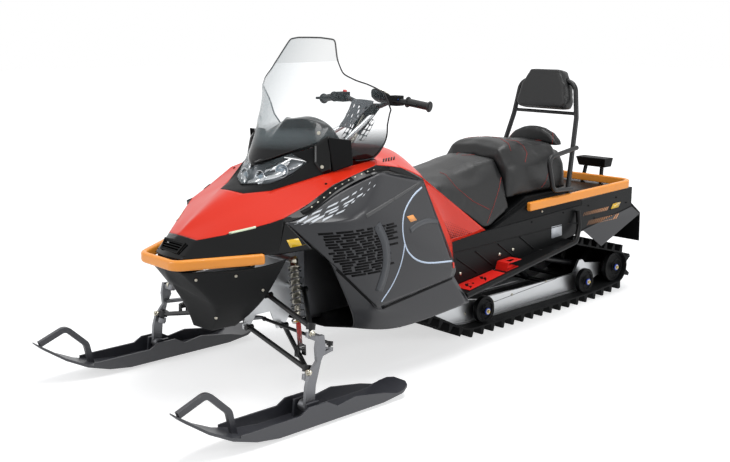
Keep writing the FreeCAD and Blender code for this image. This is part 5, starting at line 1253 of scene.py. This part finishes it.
for side, flip in (("left", Vector((1, 1, 1))), ("right", Vector((1, -1, 1)))):
    pierced("tower_bracket_" + side, lambda u, v: flip * bracket_point(u, v), 2, 4, 3.6 * mm, frame_coat)
stays = [[Vector((524, 100 * s, 954)) * mm, Vector((360, 58 * s, 1032)) * mm, Vector((236, 30 * s, 1090)) * mm]
         for s in (1, -1)]
bead("tower_stays", stays, 11 * mm, rail_alloy, sides=6)

# %% [markdown]
# The gauge is a turned shell with a metal bezel and a smoked glass, tipped back towards the
# rider's eyes. It takes the place of the CAD box and rides on the steering with the bar.

# %% Gauge
instrument_glass = finish("smoked instrument glass", "0D1116", 0.05, grain=8, relief=0.0, coat=0.8)
gauge_at, gauge_up = (0.157, 0.0, 1.168), (-0.5, 0, 0.866)
shell = [(0, -20), (24, -20), (38, -13), (46, 2), (48, 12), (47, 16), (44, 17), (43, 13), (0, 13)]
bezel = [(41, 12), (46.5, 12), (46.5, 17), (44.5, 19), (42, 18), (41, 12)]
glass = [(0, 15.5), (24, 15.2), (42, 14), (42, 12), (0, 12)]
gauge = turned("gauge_shell", [(shell, gauge_at, gauge_up)], dull_black, body="steering",
               steps=48, both=False)
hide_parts("gauge_pod")
turned("gauge_bezel", [(bezel, gauge_at, gauge_up)], zinc_steel, body="steering", steps=48,
       both=False)
turned("gauge_glass", [(glass, gauge_at, gauge_up)], instrument_glass, body="steering",
       steps=40, both=False)

# %% [markdown]
# The hand controls are moulded nylon blocks clamped on the bar. On the real machine the right
# one has the red stop switch on top and the left one the rocker switches. The knobs are turned,
# and the blocks are the CAD solids with their edges rolled over.

# %% Hand controls
soften("hand_controls", 4 * mm, 3, dull_black, body="steering")
switch_red = finish("red moulded switch", "D8261C", 0.3, grain=3, relief=0.05, coat=0.3)
switch_blue = finish("blue moulded switch", "2F63C8", 0.3, grain=3, relief=0.05, coat=0.3)
knob = [(0, -3), (7.5, -3), (7.5, 3), (9.5, 5), (9.5, 11), (7.5, 13.5), (0, 14)]
rocker = [(0, -2), (6, -2), (6, 4), (4.5, 6.5), (0, 7)]
turned("stop_switch", [(knob, (0.215, -0.178, 1.180), (-0.25, 0, 0.97))], switch_red, body="steering",
       both=False)
turned("rocker_switches", [(rocker, (0.206, 0.182, 1.168), (-0.9, 0.1, 0.42)),
                           (rocker, (0.240, 0.196, 1.168), (0.6, 0.1, 0.78))], switch_blue, body="steering",
       both=False)
flange = [(17, -3), (23, -3), (24, -1), (24, 1), (23, 3), (17, 3), (17, -3)]
turned("grip_flanges", [(flange, (0.2215, 0.243, 1.1596), (-0.228, 0.963, -0.144)),
                        (flange, (0.1965, 0.348, 1.1438), (-0.228, 0.963, -0.144))], rubber_grip, body="steering",
       steps=28)

# %% [markdown]
# The belly pan and the hood are held by a few large screws, driven straight into the plastic.
# Each stands along the surface's own normal, at a place read in the frame.

# %% Screws on the front


def on_view(tree, places, outline):
    """Turned jobs standing out of a surface at places of the frame, along the surface's normal."""
    jobs = []
    for px, py in places:
        a, b = seen(tree, px, py, lift=0), seen(tree, px, py, lift=1 * mm)
        if a is not None:
            jobs.append((outline, tuple(a), tuple((b - a).normalized())))
    return jobs


pan_px = [(263, 290), (216, 318), (236, 276), (196, 280)]
turned("pan_screws", on_view(surface_of(panels["belly_pan"]), pan_px, head(6.5, 3.5)), zinc_steel,
       steps=14)
turned("hood_screws", on_view(surface_of(panels["hood"]), [(326, 184)], head(5.5, 3.5)), dull_black,
       steps=14)

# %% [markdown]
# A tapered gloss cover clamps the windshield's lower corner on each side. Its outline is drawn
# on a plane that faces outward and forward. One extrusion gives its depth, an inset raises its
# middle, and a small bevel rolls every edge, so that the facets catch the lamps one by one.

# %% Clamp covers


def on_plane(px, py, where, normal):
    """The point of a plane that the lens shows at a place of the frame."""
    ray = lens_ray(px, py)
    return VIEW_FROM + ray * ((where - VIEW_FROM).dot(normal) / ray.dot(normal))


foot_tree = surface_of(shield, panels["headlamp_housing"], panels["hood"])
outward = Vector((0.58, 0.79, 0.2)).normalized()
anchor = seen(foot_tree, 322, 150, lift=0) + outward * 16 * mm
outline_px = [(314, 145), (319, 142), (328.5, 135.2), (332.6, 139), (333, 157), (331.4, 171), (321.5, 175),
              (314, 163)]
bm = bmesh.new()
front = bm.faces.new([bm.verts.new(on_plane(x, y, anchor, outward)) for x, y in outline_px])
pushed = bmesh.ops.extrude_face_region(bm, geom=[front])
back_verts = [v for v in pushed["geom"] if isinstance(v, bmesh.types.BMVert)]
bmesh.ops.translate(bm, verts=back_verts, vec=outward * -42 * mm)
bmesh.ops.recalc_face_normals(bm, faces=bm.faces)
outer = max(bm.faces, key=lambda f: f.calc_center_median().dot(outward))
bmesh.ops.inset_region(bm, faces=[outer], thickness=12 * mm, depth=9 * mm)
bmesh.ops.bevel(bm, geom=bm.edges[:], offset=2.2 * mm, offset_type="OFFSET", segments=3, profile=0.5,
                affect="EDGES", clamp_overlap=True, material=-1)
bmesh.ops.mirror(bm, geom=bm.verts[:] + bm.edges[:] + bm.faces[:], axis="Y", merge_dist=0.0)
bmesh.ops.recalc_face_normals(bm, faces=bm.faces)
print("clamp covers:", len(bm.faces), "faces")
covers = new_piece("clamp_covers", bm, black_gloss)
turned("clamp_screws", on_view(surface_of(covers), [(322, 167)], head(8, 5))
       + on_view(surface_of(shield), [(318.7, 133)], head(8, 5)), zinc_steel, steps=14)

# %% [markdown]
# Behind the nose grille and behind the bumper a black liner closes the gap between the cowl and
# the pan. It is one strip bent round the nose, set 42 mm inside the bumper's inner face.

# %% Liners
LINER_IN, LINER_LOW, LINER_HIGH = 42 * mm, 0.560, 0.616
ring_tree = surface_of(soft["front_bumper"])
rows = [[], []]
for i in range(25):
    turn = math.radians(-78 + 6.5 * i)
    way = Vector((math.cos(turn), math.sin(turn), 0))
    hit = ring_tree.ray_cast(Vector((1.02, 0, 0.596)), way)[0]
    if hit is not None:
        for row, high in zip(rows, (LINER_LOW, LINER_HIGH)):
            row.append(Vector((hit.x, hit.y, high)) - way * LINER_IN)
film("nose_liner", [rows], dull_black, both=False, thick=2 * mm)
low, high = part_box("nose_grille")
film("grille_backing", [[[Vector((low[0] - 4 * mm, y, low[2])) for y in (low[1], 0.0, high[1])],
                         [Vector((low[0] - 12 * mm, y, high[2])) for y in (low[1], 0.0, high[1])]]],
     dull_black, both=False, thick=2 * mm)

# %% [markdown]
# ## Shocks
# A shock is a bright body and rod inside a black coil spring, with a gold preload collar and a
# red bump stop. The CAD node holds a body and a coil for each side. A merged copy is split into
# these islands: the coil, which ends lower, turns black, and the height along a body finds its
# collar, its stop and its black foot.

# %% Shocks
red_stop = finish("red urethane bump stop", "C8281C", 0.45, grain=2, relief=0.1)


def islands(bm):
    """The separate solids of a bmesh, each as its list of faces."""
    left, found = set(bm.faces), []
    while left:
        group, front = [], [left.pop()]
        while front:
            face = front.pop()
            group.append(face)
            near = {f for e in face.edges for f in e.link_faces} & left
            left -= near
            front += near
        found.append(group)
    return found


COIL_TOP, END = 0.56, 0.02
BRIGHT, BLACK, GOLD, RED = 0, 1, 2, 3
bm = cad_copy("front_shocks")
for group in islands(bm):
    spots = [v.co.copy() for f in group for v in f.verts]
    top, foot = max(v.z for v in spots), min(v.z for v in spots)
    if top < COIL_TOP:
        for face in group:
            face.material_index = BLACK
        continue
    lower = [z for _, _, z in spots if z < foot + END]
    upper = [z for _, _, z in spots if z > top - END]
    low, high = sum(lower) / len(lower), sum(upper) / len(upper)
    for face in group:
        share = (face.calc_center_median().z - low) / (high - low)
        face.material_index = (BLACK if share < 0.20 else RED if 0.20 < share < 0.25
                               else GOLD if 0.30 < share < 0.36 else BRIGHT)
shocks = new_piece("front_shocks_dressed", bm, [zinc_steel, black_steel, gold_anodised, red_stop])
shocks.data.set_sharp_from_angle(angle=math.radians(35))
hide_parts("front_shocks")
print("shock faces by material:", [sum(p.material_index == k for p in shocks.data.polygons) for k in range(4)])

# %% [markdown]
# Each spindle carries the ball joints of its arm and tie rod and the bolt of its ski. They ride
# on the spindle, so they swing with it when the bar is turned.

# %% Ball joints and ski bolts
joint = [(0, -3), (13, -3), (13, 4), (11, 6), (8, 6), (8, 12), (6.5, 13.5), (0, 13.5)]
left_bolts = on_view(surface_of(soft["spindle_left"]), [(312, 334), (309, 373), (331, 356)], joint)
for side, jobs in (("left", left_bolts), ("right", right_side(left_bolts))):
    turned("spindle_bolts_" + side, jobs, zinc_steel, body="spindle_" + side, steps=18,
           both=False)

# %% [markdown]
# ## Pressed ribs
# The tunnel's side is stiffened with slanted ribs pressed into the sheet. A rib is a round bead
# sunk to two thirds in the sheet, so that only its low crown stands out and catches light.

# %% Tunnel ribs
ribs = []
for ends in [((-83, 418), (-229, 326)), ((-215, 433), (-336, 349)), ((-380, 445), (-502, 363)),
             ((-547, 456), (-662, 378)), ((-49, 451), (-1006, 472))]:
    run = [drop(sides_tree, *place, lift=-1.6 * mm) for place in spaced(*ends, 16)]
    ribs.append([p for p in run if p is not None])
bead("tunnel_ribs", mirrored(ribs), 3.6 * mm, tunnel_coat, sides=4)

# %% [markdown]
# The deck and the foot of the backrest's tube are bolted down with plated button heads, and the
# red foot plates with dark ones.

# %% Deck and foot plate bolts
deck_tree = surface_of(soft["seat_base"], nodes["tunnel"], nodes["backrest_frame"])
turned("deck_bolts", on_view(deck_tree, [(542, 211.5), (565.4, 183.0), (564.8, 189.6)], head(6, 3.5)),
       zinc_steel, steps=14)
plate_px = [(485, 278), (473, 283.4), (500, 280.7), (488.6, 286), (477.7, 292), (473, 297)]
turned("foot_plate_bolts", on_view(surface_of(soft["foot_plates"]), plate_px, head(6, 3)), dull_black,
       steps=14)

# %% [markdown]
# ## The last line
# The box of the dressed model is worked out over every shown piece, the floor left aside.

low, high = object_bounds()
